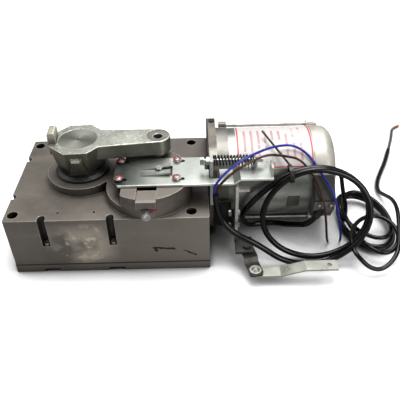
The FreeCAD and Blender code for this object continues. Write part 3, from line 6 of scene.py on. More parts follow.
import bmesh
import bpy
from mathutils import Matrix, Vector


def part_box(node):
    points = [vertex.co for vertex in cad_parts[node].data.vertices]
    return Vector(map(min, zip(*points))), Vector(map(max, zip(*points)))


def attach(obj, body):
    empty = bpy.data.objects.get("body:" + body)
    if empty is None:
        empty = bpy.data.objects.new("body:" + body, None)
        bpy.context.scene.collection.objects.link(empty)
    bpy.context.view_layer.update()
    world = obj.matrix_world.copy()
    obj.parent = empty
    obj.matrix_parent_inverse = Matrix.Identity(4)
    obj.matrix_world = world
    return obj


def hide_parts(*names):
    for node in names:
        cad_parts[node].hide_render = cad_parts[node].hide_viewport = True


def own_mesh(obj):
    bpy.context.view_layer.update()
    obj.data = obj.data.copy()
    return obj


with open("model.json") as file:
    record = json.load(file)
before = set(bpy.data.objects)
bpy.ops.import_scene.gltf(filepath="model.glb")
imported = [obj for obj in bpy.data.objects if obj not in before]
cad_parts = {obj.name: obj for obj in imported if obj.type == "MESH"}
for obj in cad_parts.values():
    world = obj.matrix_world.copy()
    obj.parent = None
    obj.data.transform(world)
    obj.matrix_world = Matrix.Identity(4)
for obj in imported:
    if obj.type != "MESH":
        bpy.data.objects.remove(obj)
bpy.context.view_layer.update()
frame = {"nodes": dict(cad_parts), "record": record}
NODES = frame["nodes"]
MM = 0.001
scene = bpy.context.scene
scene.view_settings.view_transform = "Standard"


# Tools for materials

LOOKS = {}


class Shader:
    """A Principled material that is built node by node and kept in LOOKS."""

    def __init__(self, name, **sockets):
        LOOKS[name] = bpy.data.materials.new(name)
        LOOKS[name].use_nodes = True
        self.tree = LOOKS[name].node_tree
        self.shader = self.tree.nodes["Principled BSDF"]
        for socket, value in sockets.items():
            self.shader.inputs[socket.replace("_", " ")].default_value = value
        self.place = self.add("ShaderNodeTexCoord").outputs["Object"]

    def add(self, kind, settings=None, terms=(), **links):
        """Add a node, set its properties, and link or set its inputs by number and by name."""
        made = self.tree.nodes.new(kind)
        for name, value in (settings or {}).items():
            setattr(made, name, value)
        for number, value in enumerate(terms):
            self.feed(made.inputs[number], value)
        for name, value in links.items():
            self.feed(made.inputs[name], value)
        return made

    def feed(self, socket, value):
        """Link a socket to another node's output, or set it to a constant."""
        if isinstance(value, bpy.types.NodeSocket):
            self.tree.links.new(value, socket)
        else:
            socket.default_value = value

    def value(self, operation, *terms, clamp=False):
        """Arithmetic on numbers."""
        settings = {"operation": operation, "use_clamp": clamp}
        return self.add("ShaderNodeMath", settings, terms).outputs[0]

    def product(self, *shares):
        """Masks and shares multiplied together."""
        result = shares[0]
        for share in shares[1:]:
            result = self.value("MULTIPLY", result, share)
        return result

    def either(self, first, second):
        """Two masks laid over each other."""
        return self.value("ADD", first, second, clamp=True)

    def vector(self, operation, *terms, **links):
        """Arithmetic on vectors; a distance or a dot product comes out as a number."""
        made = self.add("ShaderNodeVectorMath", {"operation": operation}, terms, **links)
        return made.outputs["Value" if operation in ("DISTANCE", "DOT_PRODUCT") else "Vector"]

    def mix(self, share, first, second):
        """A blend of two colours."""
        made = self.add("ShaderNodeMix", {"data_type": "RGBA"})
        colours = [socket for socket in made.inputs if socket.type == "RGBA"]
        self.feed(made.inputs[0], share)
        self.feed(colours[0], first)
        self.feed(colours[1], second)
        return next(socket for socket in made.outputs if socket.type == "RGBA")

    def span(self, value, low, high, start=0.0, end=1.0):
        """Map a value from low..high to start..end, held at both ends."""
        return self.add("ShaderNodeMapRange", None, (value, low, high, start, end)).outputs["Result"]

    def noise(self, scale, detail=4.0, rough=0.55, stretch=None):
        """Noise in the object's own place, scale per metre; stretch is a scale for each axis."""
        place = self.place
        if stretch:
            place = self.add("ShaderNodeMapping", Vector=place, Scale=stretch).outputs["Vector"]
        made = self.add("ShaderNodeTexNoise", Vector=place, Scale=scale, Detail=detail, Roughness=rough)
        return made.outputs["Fac"]

    def axis(self, letter):
        """The place along one axis, in metres."""
        return self.add("ShaderNodeSeparateXYZ", Vector=self.place).outputs[letter]

    def along(self, letter, low, high, start=0.0, end=1.0):
        """A slope from start to end between two places along an axis."""
        return self.span(self.axis(letter), low * MM, high * MM, start, end)

    def band(self, letter, low, high, soft=1.0):
        """One between two places along an axis, and zero outside them."""
        rise = self.along(letter, low - soft, low + soft)
        fall = self.along(letter, high + soft, high - soft)
        return self.product(rise, fall)

    def upward(self):
        """One on faces that look up, zero on upright faces."""
        normal = self.add("ShaderNodeNewGeometry").outputs["Normal"]
        return self.span(self.add("ShaderNodeSeparateXYZ", Vector=normal).outputs["Z"], 0.35, 0.75)

    def rounded(self, radius):
        """The normal that an edge of this radius would have."""
        return self.add("ShaderNodeBevel", {"samples": 6}, Radius=radius * MM).outputs["Normal"]

    def chips(self, radius, pattern, low, high, least):
        """Worn edges, where a rounded normal leaves the true one, broken up by a pattern."""
        true = self.add("ShaderNodeNewGeometry").outputs["Normal"]
        edges = self.span(self.vector("DOT_PRODUCT", self.rounded(radius), true), 0.985, 0.80)
        return self.product(edges, self.span(pattern, low, high, least, 1.0))

    def open_share(self, reach, samples=6):
        """One on open faces, less where something lies within reach."""
        settings = {"samples": samples}
        return self.add("ShaderNodeAmbientOcclusion", settings, Distance=reach * MM).outputs["AO"]

    def crevices(self, reach, start=0.75, end=0.3):
        """One in holes, slots and inner corners, zero on open faces."""
        return self.span(self.open_share(reach), start, end)

    def streak(self, start, end, width, ragged=3.0):
        """A mask along a line from one point to another, with a ragged edge."""
        start, run = Vector(start) * MM, (Vector(end) - Vector(start)) * MM
        wobble = self.add("ShaderNodeTexNoise", Vector=self.place, Scale=260.0, Detail=3.0).outputs["Color"]
        size = Vector((ragged, ragged, ragged)) * MM
        shift = self.vector("MULTIPLY_ADD", wobble, tuple(size), tuple(-size / 2 - start))
        place = self.vector("ADD", self.place, shift)
        share = self.span(self.vector("DOT_PRODUCT", place, tuple(run / run.length_squared)), 0.0, 1.0)
        nearest = self.vector("SCALE", tuple(run), Scale=share)
        return self.span(self.vector("DISTANCE", place, nearest), width * MM, 0.6 * width * MM)

    def finish(self, colour, rough, height=None, bump=0.2, depth=0.4, round_r=None):
        """Feed colour, roughness, bump and softened edges to the shader."""
        self.feed(self.shader.inputs["Base Color"], colour)
        self.feed(self.shader.inputs["Roughness"], rough)
        normal = self.rounded(round_r) if round_r else None
        if height is not None:
            relief = self.add("ShaderNodeBump", Strength=bump, Distance=depth * MM, Height=height)
            if normal:
                self.feed(relief.inputs["Normal"], normal)
            normal = relief.outputs["Normal"]
        if normal:
            self.feed(self.shader.inputs["Normal"], normal)


def rgb(red, green, blue):
    """A colour written as it shows on screen, 0 to 255."""
    return (*[(value / 255) ** 2.2 for value in (red, green, blue)], 1.0)


# Materials

def metal(name, light, dark, worn=None, grain=900.0, patch=28.0, rough=(0.32, 0.5), bump=0.12, metallic=0.9,
          edge=1.2, round_r=0.6):
    """Plated, cast or turned metal: patchy tone, fine grain and brighter worn edges."""
    made = Shader(name, Metallic=metallic)
    patches = made.span(made.noise(patch, 6.0, 0.6), 0.35, 0.66)
    colour = made.mix(patches, dark, light)
    roughness = made.span(made.noise(patch * 2.3, 5.0, 0.65), 0.3, 0.7, *rough)
    if worn:
        colour = made.mix(made.chips(edge, made.noise(240.0, 4.0, 0.7), 0.38, 0.62, 0.25), colour, worn)
    made.finish(colour, roughness, made.noise(grain, 3.0, 0.6), bump, 0.3, round_r)


def plastic(name, light, dark, rough):
    """Moulded plastic or rubber with a fine skin."""
    made = Shader(name)
    tone = made.span(made.noise(60.0, 4.0), 0.35, 0.68)
    roughness = made.span(made.noise(180.0, 4.0), 0.3, 0.7, *rough)
    made.finish(made.mix(tone, dark, light), roughness, made.noise(1400.0, 2.0), 0.08, 0.2, 0.4)


# The housing's front face in Y, the stained patch on it, and the seam over the base cover
FRONT_Y = (-78.5, -76.2)
STAIN_X = (-28.0, 34.0)
STAIN_Z = (17.0, 60.0)
SEAM_Z = (9.6, 11.3)
# Dark scuffs on the front: start, end and half width
SCUFFS = [
    ((78.4, -77, 31.6), (100.0, -77, 29.6), 1.6), ((80.2, -77, 31.0), (81.4, -77, 27.2), 1.9),
    ((110.4, -77, 27.0), (115.6, -77, 24.8), 0.8), ((115.0, -77, 24.2), (122.6, -77, 20.2), 1.5),
]


def housing_metal():
    """Dark cast alloy: soft tones, painted light on top faces and a painted light gradient across the
    front, dried stains and scuffs on the front, worn edges, painted shade in crevices and nooks, and a dark
    seam line.
    """
    made = Shader("cast_alloy", Metallic=0.5)
    tone = made.span(made.noise(11.0, 5.0, 0.55), 0.3, 0.7)
    colour = made.mix(tone, rgb(80, 75, 70), rgb(122, 115, 107))
    streaks = made.span(made.noise(34.0, 5.0, 0.7, (0.35, 1.0, 2.2)), 0.5, 0.72, 0.0, 0.5)
    colour = made.mix(streaks, colour, rgb(136, 129, 121))
    # Painted light: faces that look up are a little lighter.
    colour = made.mix(made.product(made.upward(), 0.2), colour, rgb(152, 145, 136))
    front = made.band("Y", *FRONT_Y, 0.4)
    stains = made.product(front, made.band("Z", *STAIN_Z, 8.0), made.band("X", *STAIN_X, 10.0))
    stain_film_and_painted_reflection = made.span(made.noise(24.0, 3.0, 0.5), 0.40, 0.52)
    colour = made.mix(made.product(stains, stain_film_and_painted_reflection, 0.85), colour, rgb(204, 193, 178))
    # Painted light: the front face grows lighter towards its right end.
    painted_front_light = made.product(front, made.along("X", -70.0, 130.0, 0.15, 0.45))
    colour = made.mix(painted_front_light, colour, rgb(158, 151, 141))
    crust = made.product(stains, made.span(made.noise(40.0, 6.0, 0.7), 0.56, 0.60))
    colour = made.mix(crust, colour, rgb(222, 208, 186))
    for start, end, width in SCUFFS:
        colour = made.mix(made.product(front, made.streak(start, end, width)), colour, rgb(44, 39, 36))
    worn = made.chips(1.6, made.noise(150.0, 5.0, 0.7), 0.34, 0.6, 0.35)
    above_seam = made.along("Z", SEAM_Z[1] + 0.2, SEAM_Z[1] + 2.2)
    colour = made.mix(made.product(worn, above_seam), colour, rgb(196, 190, 182))
    # Painted shade in nooks where something lies within 45 mm, such as round the crank's hub.
    colour = made.mix(made.product(made.crevices(45.0, 0.66, 0.2), 0.8), colour, rgb(34, 31, 29))
    # Painted shade in holes and tight corners, together with the dark seam line over the base cover.
    hole_shade_and_seam = made.either(made.crevices(12.0), made.band("Z", *SEAM_Z, 0.3))
    colour = made.mix(made.product(hole_shade_and_seam, 0.9), colour, rgb(22, 20, 19))
    roughness = made.span(made.noise(70.0, 5.0, 0.6), 0.3, 0.7, 0.38, 0.56)
    grain = made.value("ADD", made.noise(520.0, 4.0, 0.7), made.noise(60.0, 4.0))
    made.finish(colour, roughness, grain, 0.14, 0.4, 0.9)


# Middle of the crank's hole on its upper face and the dull spot's radius; the stop block on the hub in Z;
# the small ledge on the hub's front
ARM_EYE = (84.8, 4.15, 118.8)
ARM_SPOT_R = 12.0
STOP_Z = (127.0, 150.0)
LEDGE_X = (-4.6, 4.8)
LEDGE_Z = (108.5, 113.0)


def crank_metal():
    """Zinc-plated forging: grainy top with painted glints, painted shade on the upright sides that grows
    darker below a wavy height, a bright ledge of wear and painted highlight, a dull spot round the hole,
    painted shade in crevices.
    """
    made = Shader("crank_zinc", Metallic=0.75)
    top = made.upward()
    tone = made.span(made.noise(24.0, 6.0, 0.6), 0.35, 0.66)
    colour = made.mix(tone, rgb(166, 166, 153), rgb(204, 205, 195))
    # Painted shade: the upright sides are a darker copy of the top's tone, darker still below a wavy
    # height.
    sides = made.mix(tone, rgb(98, 98, 87), rgb(136, 137, 127))
    darkening_height = made.span(made.noise(18.0, 4.0), 0.35, 0.65, 106.0 * MM, 114.0 * MM)
    below = made.value("SUBTRACT", darkening_height, made.axis("Z"))
    sides = made.mix(made.span(below, 0.0, 14.0 * MM, 0.0, 0.75), sides, rgb(52, 50, 42))
    colour = made.mix(top, sides, colour)
    grain = made.noise(330.0, 5.0, 0.75)
    colour = made.mix(made.span(grain, 0.55, 0.64, 0.0, 0.6), colour, rgb(112, 109, 95))
    glints = made.product(top, made.span(grain, 0.44, 0.35, 0.0, 0.85))
    colour = made.mix(glints, colour, rgb(246, 246, 238))
    colour = made.mix(made.product(made.band("Z", *STOP_Z, 3.0), 0.6), colour, rgb(230, 225, 202))
    away = made.vector("DISTANCE", made.place, tuple(Vector(ARM_EYE) * MM))
    spot = made.span(away, (ARM_SPOT_R + 0.2) * MM, (ARM_SPOT_R - 0.2) * MM, 0.0, 0.85)
    colour = made.mix(spot, colour, rgb(118, 117, 108))
    hub_front = made.along("Y", -25.5, -26.2)
    # The ledge: a worn patch with a painted highlight on it.
    ledge_wear_and_highlight = made.product(made.band("Z", *LEDGE_Z, 0.4), made.band("X", *LEDGE_X, 0.6), hub_front)
    colour = made.mix(ledge_wear_and_highlight, colour, rgb(248, 246, 240))
    worn = made.chips(1.8, made.noise(240.0, 4.0, 0.7), 0.38, 0.6, 0.3)
    colour = made.mix(made.product(worn, made.along("Z", 108.0, 112.0)), colour, rgb(244, 242, 232))
    # Painted shade in crevices.
    colour = made.mix(made.product(made.crevices(8.0), 0.8), colour, rgb(30, 28, 24))
    roughness = made.span(made.noise(60.0, 5.0, 0.65), 0.3, 0.7, 0.28, 0.48)
    made.finish(colour, roughness, grain, 0.5, 0.4, 1.1)


def shaft_metal():
    """Turned shaft end: fine rings and a sheen that swings round the axis."""
    made = Shader("shaft_steel", Metallic=0.85)
    around = made.value("ARCTAN2", made.axis("Y"), made.axis("X"))
    sheen = made.value("SINE", made.value("MULTIPLY_ADD", around, 2.0, -0.9))
    colour = made.mix(made.span(sheen, -1.0, 1.0), rgb(122, 123, 115), rgb(190, 192, 181))
    stains = made.span(made.noise(70.0, 5.0), 0.5, 0.7, 0.0, 0.4)
    colour = made.mix(stains, colour, rgb(92, 90, 84))
    colour = made.mix(made.chips(0.9, made.noise(200.0), 0.35, 0.6, 0.3), colour, rgb(226, 226, 218))
    circles = {"wave_type": "RINGS", "rings_direction": "Z"}
    rings = made.add("ShaderNodeTexWave", circles, Vector=made.place, Scale=420.0).outputs["Fac"]
    made.finish(colour, 0.36, rings, 0.08, 0.2, 0.4)


def plate_metal():
    """Bright zinc-plated sheet, darkened towards its left end under the crank's sweep by a painted
    reflection and shade, with a painted highlight along its front edge.
    """
    made = Shader("plate_zinc", Metallic=0.9)
    tone = made.span(made.noise(22.0, 6.0, 0.6), 0.35, 0.66)
    colour = made.mix(tone, rgb(172, 177, 170), rgb(204, 208, 200))
    patchy = made.span(made.noise(30.0, 3.0), 0.2, 0.6, 0.75, 1.0)
    # Painted dark reflection and shade towards the plate's left end.
    stain_film_and_painted_reflection = made.product(made.along("X", 90.0, 48.0), patchy)
    colour = made.mix(stain_film_and_painted_reflection, colour, rgb(50, 53, 50))
    # Painted highlight along the front edge.
    front_edge_highlight = made.band("Y", -58.0, -55.2, 0.8)
    colour = made.mix(front_edge_highlight, colour, rgb(238, 240, 234))
    roughness = made.span(made.noise(50.0, 5.0, 0.65), 0.3, 0.7, 0.3, 0.42)
    made.finish(colour, roughness, made.noise(1500.0, 3.0, 0.6), 0.012, 0.3)


def stator_metal():
    """Drawn steel shell, brushed lengthwise: a painted dark reflection band below the label, a painted
    bright reflection band under it, and painted shade towards the bottom.
    """
    made = Shader("stator_silver", Metallic=0.85)
    tone = made.span(made.noise(16.0, 6.0, 0.6), 0.35, 0.66)
    colour = made.mix(tone, rgb(132, 135, 129), rgb(178, 181, 174))
    # Painted reflection: a dark band below the label.
    colour = made.mix(made.product(made.band("Z", 71.0, 94.0, 6.0), 0.6), colour, rgb(84, 86, 80))
    # Painted reflection: a bright band under the dark one.
    patchy = made.span(made.noise(30.0, 4.0), 0.3, 0.6, 0.3, 0.9)
    painted_bright_band = made.product(made.band("Z", 42.0, 60.0, 8.0), patchy)
    colour = made.mix(painted_bright_band, colour, rgb(212, 214, 206))
    # Painted shade towards the bottom of the shell.
    colour = made.mix(made.along("Z", 34.0, 20.0, 0.0, 0.7), colour, rgb(52, 53, 50))
    roughness = made.span(made.noise(37.0, 5.0, 0.65), 0.3, 0.7, 0.24, 0.36)
    brushed = made.noise(1300.0, 3.0, 0.6, (0.25, 1.0, 1.0))
    made.finish(colour, roughness, brushed, 0.06, 0.3, 0.6)


def strut_metal():
    """Zinc-plated strut whose foot is darkened by painted shade."""
    made = Shader("strut_zinc", Metallic=0.8)
    tone = made.span(made.noise(40.0, 5.0), 0.35, 0.66)
    bright = made.mix(tone, rgb(172, 172, 164), rgb(214, 214, 207))
    # Painted shade towards the foot.
    colour = made.mix(made.along("Z", 34.0, 22.0), bright, rgb(74, 73, 70))
    roughness = made.span(made.noise(90.0, 4.0), 0.3, 0.7, 0.28, 0.42)
    made.finish(colour, roughness, made.noise(1300.0, 3.0), 0.05, 0.3)


# Height below which the blue and brown wires are stripped, and where the signal lead's copper starts in X
STRIPPED_Z = 6.2
CORE_BARE_X = 418.0


def sheath(name, colour, light, rough, stripped_z=None):
    """Cable jacket: satin skin with faint scuffs; a stripped end shows copper below a height."""
    made = Shader(name, Specular_IOR_Level=0.36)
    skin = made.mix(made.span(made.noise(90.0, 5.0, 0.7), 0.5, 0.75), colour, light)
    if stripped_z:
        strands = made.mix(made.noise(1200.0), rgb(176, 112, 76), rgb(240, 204, 170))
        skin = made.mix(made.along("Z", stripped_z, stripped_z - 0.3), skin, strands)
    roughness = made.span(made.noise(140.0, 4.0), 0.3, 0.7, rough, rough + 0.15)
    made.finish(skin, roughness, made.noise(900.0, 3.0), 0.1, 0.2)


def core_look():
    """Dark inner jacket whose last stretch is stripped to bright copper strands."""
    made = Shader("core_strands")
    bare = made.along("X", CORE_BARE_X - 0.5, CORE_BARE_X + 0.5)
    slanted = {"bands_direction": "DIAGONAL"}
    twist = made.add("ShaderNodeTexWave", slanted, Vector=made.place, Scale=260.0).outputs["Fac"]
    copper = made.mix(twist, rgb(150, 92, 60), rgb(232, 190, 150))
    jacket = made.mix(made.noise(220.0), rgb(30, 30, 30), rgb(92, 94, 94))
    made.feed(made.shader.inputs["Metallic"], made.span(bare, 0.0, 1.0, 0.0, 0.8))
    roughness = made.span(bare, 0.0, 1.0, 0.4, 0.3)
    made.finish(made.mix(bare, jacket, copper), roughness, twist, 0.3, 0.3)


# Red lines of the motor's label; its ruled bars in X, half of their spacing, and where in it a bar begins
BORDER_LEFT = (170.0, 171.6)
BORDER_RIGHT = (250.0, 251.6)
BORDER_LOWER_Z = (90.2, 91.4)
BARS_X = (175.5, 245.0)
BAR_STEP = 3.8
BAR_RISE = (2.3, 2.6)


def label_look():
    """White wrap with red border lines and faint broken bars, and no words."""
    made = Shader("label_white", Coat_Weight=0.15)
    tone = made.mix(made.noise(40.0), rgb(188, 183, 180), rgb(208, 204, 201))
    borders = made.either(made.band("X", *BORDER_LEFT, 0.1), made.band("X", *BORDER_RIGHT, 0.1))
    front_side = made.along("Y", 0.0, -1.0)
    between = made.band("X", BORDER_LEFT[0], BORDER_RIGHT[1], 0.1)
    borders = made.either(borders, made.product(made.band("Z", *BORDER_LOWER_Z, 0.1), front_side, between))
    wave = made.value("PINGPONG", made.axis("X"), BAR_STEP * MM)
    rise = made.span(wave, BAR_RISE[0] * MM, BAR_RISE[1] * MM)
    bars = made.product(rise, made.band("X", *BARS_X, 0.3))
    gaps = made.span(made.noise(75.0, 2.0, 0.5, (0.2, 1.0, 1.0)), 0.45, 0.48)
    colour = made.mix(made.product(bars, gaps, 0.6), tone, rgb(164, 78, 84))
    colour = made.mix(borders, colour, rgb(184, 54, 62))
    made.finish(colour, 0.45, made.noise(700.0), 0.05, 0.2)


def paint_look(name, light, dark):
    """A brushed dab of thick paint."""
    made = Shader(name, Coat_Weight=0.3)
    made.finish(made.mix(made.noise(500.0), dark, light), 0.35, made.noise(900.0, 4.0), 0.5, 0.4)


def floor_look():
    """White ground with painted shadow where the object nearly touches it; only the camera sees it glow."""
    made = Shader("floor_white", Roughness=0.9)
    near = made.open_share(50.0, 8)
    touching = made.open_share(12.0, 8)
    # Painted shadow: the floor's colour darkens where the object lies near, most where it nearly touches.
    shade = made.mix(made.span(near, 0.2, 0.7), rgb(110, 110, 110), rgb(246, 246, 246))
    shade = made.mix(made.span(touching, 0.4, 0.8), rgb(20, 20, 20), shade)
    made.feed(made.shader.inputs["Base Color"], shade)
    strength = made.span(near, 0.35, 0.95, 0.0, 0.38)
    glow = made.add("ShaderNodeEmission", Color=(1, 1, 1, 1), Strength=strength).outputs[0]
    lit = made.add("ShaderNodeAddShader", None, (made.shader.outputs[0], glow)).outputs[0]
    dim = made.add("ShaderNodeBsdfDiffuse", Color=rgb(150, 150, 150)).outputs[0]
    seen = made.add("ShaderNodeLightPath").outputs["Is Camera Ray"]
    both = made.add("ShaderNodeMixShader", None, (seen, dim, lit)).outputs[0]
    made.feed(made.tree.nodes["Material Output"].inputs["Surface"], both)


housing_metal()
crank_metal()
shaft_metal()
plate_metal()
stator_metal()
strut_metal()
metal("steel", rgb(186, 186, 184), rgb(138, 138, 136), rgb(228, 228, 224), grain=1100.0, patch=60.0,
      rough=(0.25, 0.42), bump=0.06, metallic=0.95, edge=0.5, round_r=0.3)
metal("dark_steel", rgb(62, 60, 58), rgb(34, 33, 32), rgb(120, 118, 114), patch=70.0,
      rough=(0.35, 0.5), bump=0.1, metallic=0.7, edge=0.5, round_r=0.3)
metal("bronze", rgb(176, 136, 82), rgb(132, 98, 58), rgb(214, 178, 120), patch=60.0)
metal("copper", rgb(206, 132, 82), rgb(168, 96, 56), rgb(236, 186, 140), grain=1600.0, patch=120.0,
      rough=(0.25, 0.4))
metal("lamination", rgb(96, 96, 98), rgb(64, 64, 66), patch=50.0)
# Both end bells are one alloy in two tones: the darker tones on the front bell are painted shade, the
# lighter copy on the rear bell painted light.
metal("bell_alloy", rgb(136, 134, 128), rgb(96, 94, 89), rgb(222, 220, 214), grain=800.0, patch=26.0,
      rough=(0.36, 0.52), bump=0.1, metallic=0.7, round_r=0.8)
metal("rear_alloy", rgb(200, 196, 186), rgb(164, 160, 150), rgb(236, 234, 228), grain=620.0, patch=30.0,
      rough=(0.4, 0.56), bump=0.16, metallic=0.55, round_r=0.8)
# The flange's alloy is darkened as painted shade.
metal("flange_alloy", rgb(142, 136, 126), rgb(98, 94, 86), rgb(206, 202, 194), grain=700.0, patch=40.0,
      rough=(0.36, 0.5), bump=0.14, metallic=0.7, edge=1.4, round_r=0.8)
metal("strap_zinc", rgb(92, 91, 87), rgb(58, 57, 54), grain=1300.0, patch=40.0,
      rough=(0.28, 0.42), bump=0.06, metallic=0.85, round_r=None)
metal("link_zinc", rgb(196, 196, 186), rgb(168, 168, 158), grain=1400.0, patch=34.0,
      rough=(0.25, 0.4), bump=0.06, metallic=0.85, round_r=None)
plastic("seal_rubber", rgb(34, 33, 32), rgb(18, 18, 18), (0.45, 0.65))
plastic("gasket", rgb(36, 34, 32), rgb(16, 16, 16), (0.55, 0.75))
plastic("terminal_grey", rgb(116, 114, 108), rgb(84, 82, 78), (0.42, 0.58))
plastic("terminal_dark", rgb(58, 56, 52), rgb(36, 35, 33), (0.42, 0.58))
plastic("black_plastic", rgb(30, 30, 30), rgb(14, 14, 14), (0.35, 0.5))
plastic("label_dark", rgb(80, 80, 76), rgb(50, 50, 48), (0.35, 0.5))
label_look()
paint_look("red_paint", rgb(168, 34, 40), rgb(84, 18, 20))
paint_look("pale_paint", rgb(236, 232, 226), rgb(196, 190, 184))
sheath("cable_black", rgb(3, 3, 3), rgb(13, 12, 11), 0.13)
sheath("blue_insulation", rgb(38, 44, 136), rgb(74, 80, 168), 0.35, STRIPPED_Z)
sheath("brown_insulation", rgb(62, 34, 26), rgb(100, 64, 52), 0.35, STRIPPED_Z)
core_look()
floor_look()

# Nodes whose look differs from their material slot's
OWN_LOOKS = {
    "terminal_cover": "terminal_dark", "release_strap": "strap_zinc", "strut_plate": "strut_zinc",
    "output_shaft": "shaft_steel", "joggled_link": "link_zinc", "motor_flange": "flange_alloy",
    "rear_bell": "rear_alloy",
}
for entry in frame["record"]["subparts"]:
    skin = NODES[entry["node"]].data.materials
    skin.clear()
    skin.append(LOOKS[OWN_LOOKS.get(entry["node"], entry["material_slot"])])


# Smaller pieces that the CAD model leaves plain

SHARP_ANGLE = math.radians(38)
# A dab of paint from its foot up: share of its reach and of its thickness
MOUND = [(1.0, -0.15), (1.0, 0.05), (0.8, 0.7), (0.45, 1.0), (0.02, 0.9)]


def add_piece(name, corners, faces, slot, look=None):
    """One mesh piece on the housing's body, with smooth faces and sharp corners."""
    mesh = bpy.data.meshes.new(name)
    mesh.from_pydata([[value * MM for value in corner] for corner in corners], [], faces)
    work = bmesh.new()
    work.from_mesh(mesh)
    bmesh.ops.remove_doubles(work, verts=work.verts, dist=1e-7)
    bmesh.ops.recalc_face_normals(work, faces=work.faces)
    for face in work.faces:
        face.smooth = True
    for edge in work.edges:
        edge.smooth = not edge.is_manifold or edge.calc_face_angle(0.0) < SHARP_ANGLE
    work.to_mesh(mesh)
    work.free()
    mesh.materials.append(LOOKS[look or slot])
    piece = bpy.data.objects.new(name, mesh)
    scene.collection.objects.link(piece)
    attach(piece, "housing")
    return piece


def skin_over(rings):
    """Corners and faces of a closed skin over rings of points, with both ends capped."""
    size = len(rings[0])
    corners = [corner for ring in rings for corner in ring]
    faces = [tuple(reversed(range(size))), tuple(range(len(corners) - size, len(corners)))]
    for first in range(0, len(corners) - size, size):
        for step in range(size):
            after = (step + 1) % size
            faces.append((first + step, first + after, first + size + after, first + size + step))
    return corners, faces


def circle(steps):
    """Angles round a circle."""
    return [2 * math.pi * step / steps for step in range(steps)]


def square_to(normal):
    """A normal of length one, and two directions square to it."""
    normal = Vector(normal).normalized()
    side = normal.orthogonal().normalized()
    return normal, side, normal.cross(side)


def turned(profile, centre, axis, steps=32):
    """A profile of (radius, height) pairs turned about an axis."""
    axis, side, other = square_to(axis)
    rings = []
    for radius, height in profile:
        middle = Vector(centre) + axis * height
        reach = max(radius, 1e-4)
        rings.append([middle + (side * math.cos(angle) + other * math.sin(angle)) * reach
                      for angle in circle(steps)])
    return skin_over(rings)


def wrap(x_low, x_high, start, end, steps):
    """A label bent round the motor between two angles in degrees."""
    inner, outer = STATOR_R + LABEL_GAP, STATOR_R + LABEL_GAP + LABEL_THICK
    rings = []
    for step in range(steps + 1):
        angle = math.radians(start + (end - start) * step / steps)
        out = Vector((0, math.cos(angle), math.sin(angle)))
        outline = ((x_low, inner), (x_high, inner), (x_high, outer), (x_low, outer))
        rings.append([Vector((x, MOTOR_Y, MOTOR_Z)) + out * reach for x, reach in outline])
    return skin_over(rings)


def coil_spring(low, high, turns, wire, steps=28, sides=12):
    """A coil spring along X that fills a box; its end turns lie close together."""
    along_x = Vector((1, 0, 0))
    middle = (Vector(low) + Vector(high)) / 2
    radius = (high[1] - low[1]) / 2 - wire
    first, last = low[0] + wire, high[0] - wire
    close_turn = 2.1 * wire
    open_turn = (last - first - 2 * close_turn) / (turns - 2)
    rings = []
    for step in range(turns * steps + 1):
        turn = step / steps
        closed = min(turn, 1) + max(turn - turns + 1, 0)
        place = Vector((first + close_turn * closed + open_turn * (turn - closed), middle.y, middle.z))
        out = Vector((0, math.cos(2 * math.pi * turn), math.sin(2 * math.pi * turn)))
        rings.append([place + out * (radius + wire * math.cos(angle)) + along_x * wire * math.sin(angle)
                      for angle in circle(sides)])
    return skin_over(rings)


def dab(centre, normal, reach, thick, seed, steps=22):
    """An uneven low mound of paint on a face."""
    normal, side, other = square_to(normal)
    rings = []
    for share, high in MOUND:
        ring = []
        for angle in circle(steps):
            uneven = 1 + 0.22 * math.sin(2 * angle + seed) + 0.14 * math.sin(5 * angle + 2.3 * seed)
            spread = side * math.cos(angle) * reach[0] + other * math.sin(angle) * reach[1]
            ring.append(Vector(centre) + spread * uneven * share + normal * thick * high)
        rings.append(ring)
    return skin_over(rings)


def bar(start, end, wide, thick, up, ease=0.25, end_share=0.86):
    """A straight bar with eased edges and slightly smaller ends."""
    start, end = Vector(start), Vector(end)
    run = (end - start).normalized()
    side = run.cross(Vector(up)).normalized()
    up = side.cross(run)
    cut = ease * min(wide, thick)
    a, b = wide / 2, thick / 2
    outline = [(a - cut, b), (cut - a, b), (-a, b - cut), (-a, cut - b),
               (cut - a, -b), (a - cut, -b), (a, cut - b), (a, b - cut)]
    stations = ((start, end_share), (start + run * cut, 1.0), (end - run * cut, 1.0), (end, end_share))
    return skin_over([[place + (side * across + up * high) * share for across, high in outline]
                      for place, share in stations])


# The motor's axis and shell; the labels' places on the shell in X and in degrees round the axis
MOTOR_Y, MOTOR_Z, STATOR_R = 19.9, 58.6, 50.5
LABEL_GAP, LABEL_THICK = 0.05, 0.12
MOTOR_LABEL_X, MOTOR_LABEL_TURN = (169.0, 252.4), (142.0, 22.0)
SIDE_LABEL_X, SIDE_LABEL_TURN = (224.0, 237.5), (178.5, 196.5)
add_piece("motor_label", *wrap(*MOTOR_LABEL_X, *MOTOR_LABEL_TURN, 48), "terminal_grey", "label_white")
add_piece("side_label", *wrap(*SIDE_LABEL_X, *SIDE_LABEL_TURN, 12), "terminal_grey", "label_dark")

# The release spring, built at one length; the real spring shortens as the plate slides
SPRING_TURNS, SPRING_WIRE_R, PLATE_TRAVEL = 14, 0.7, 6.0
SPRING_LOW, SPRING_HIGH = [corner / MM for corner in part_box("release_spring")]
spring = add_piece("spring_coil", *coil_spring(SPRING_LOW, SPRING_HIGH, SPRING_TURNS, SPRING_WIRE_R),
                   "dark_steel")
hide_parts("release_spring")
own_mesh(spring)

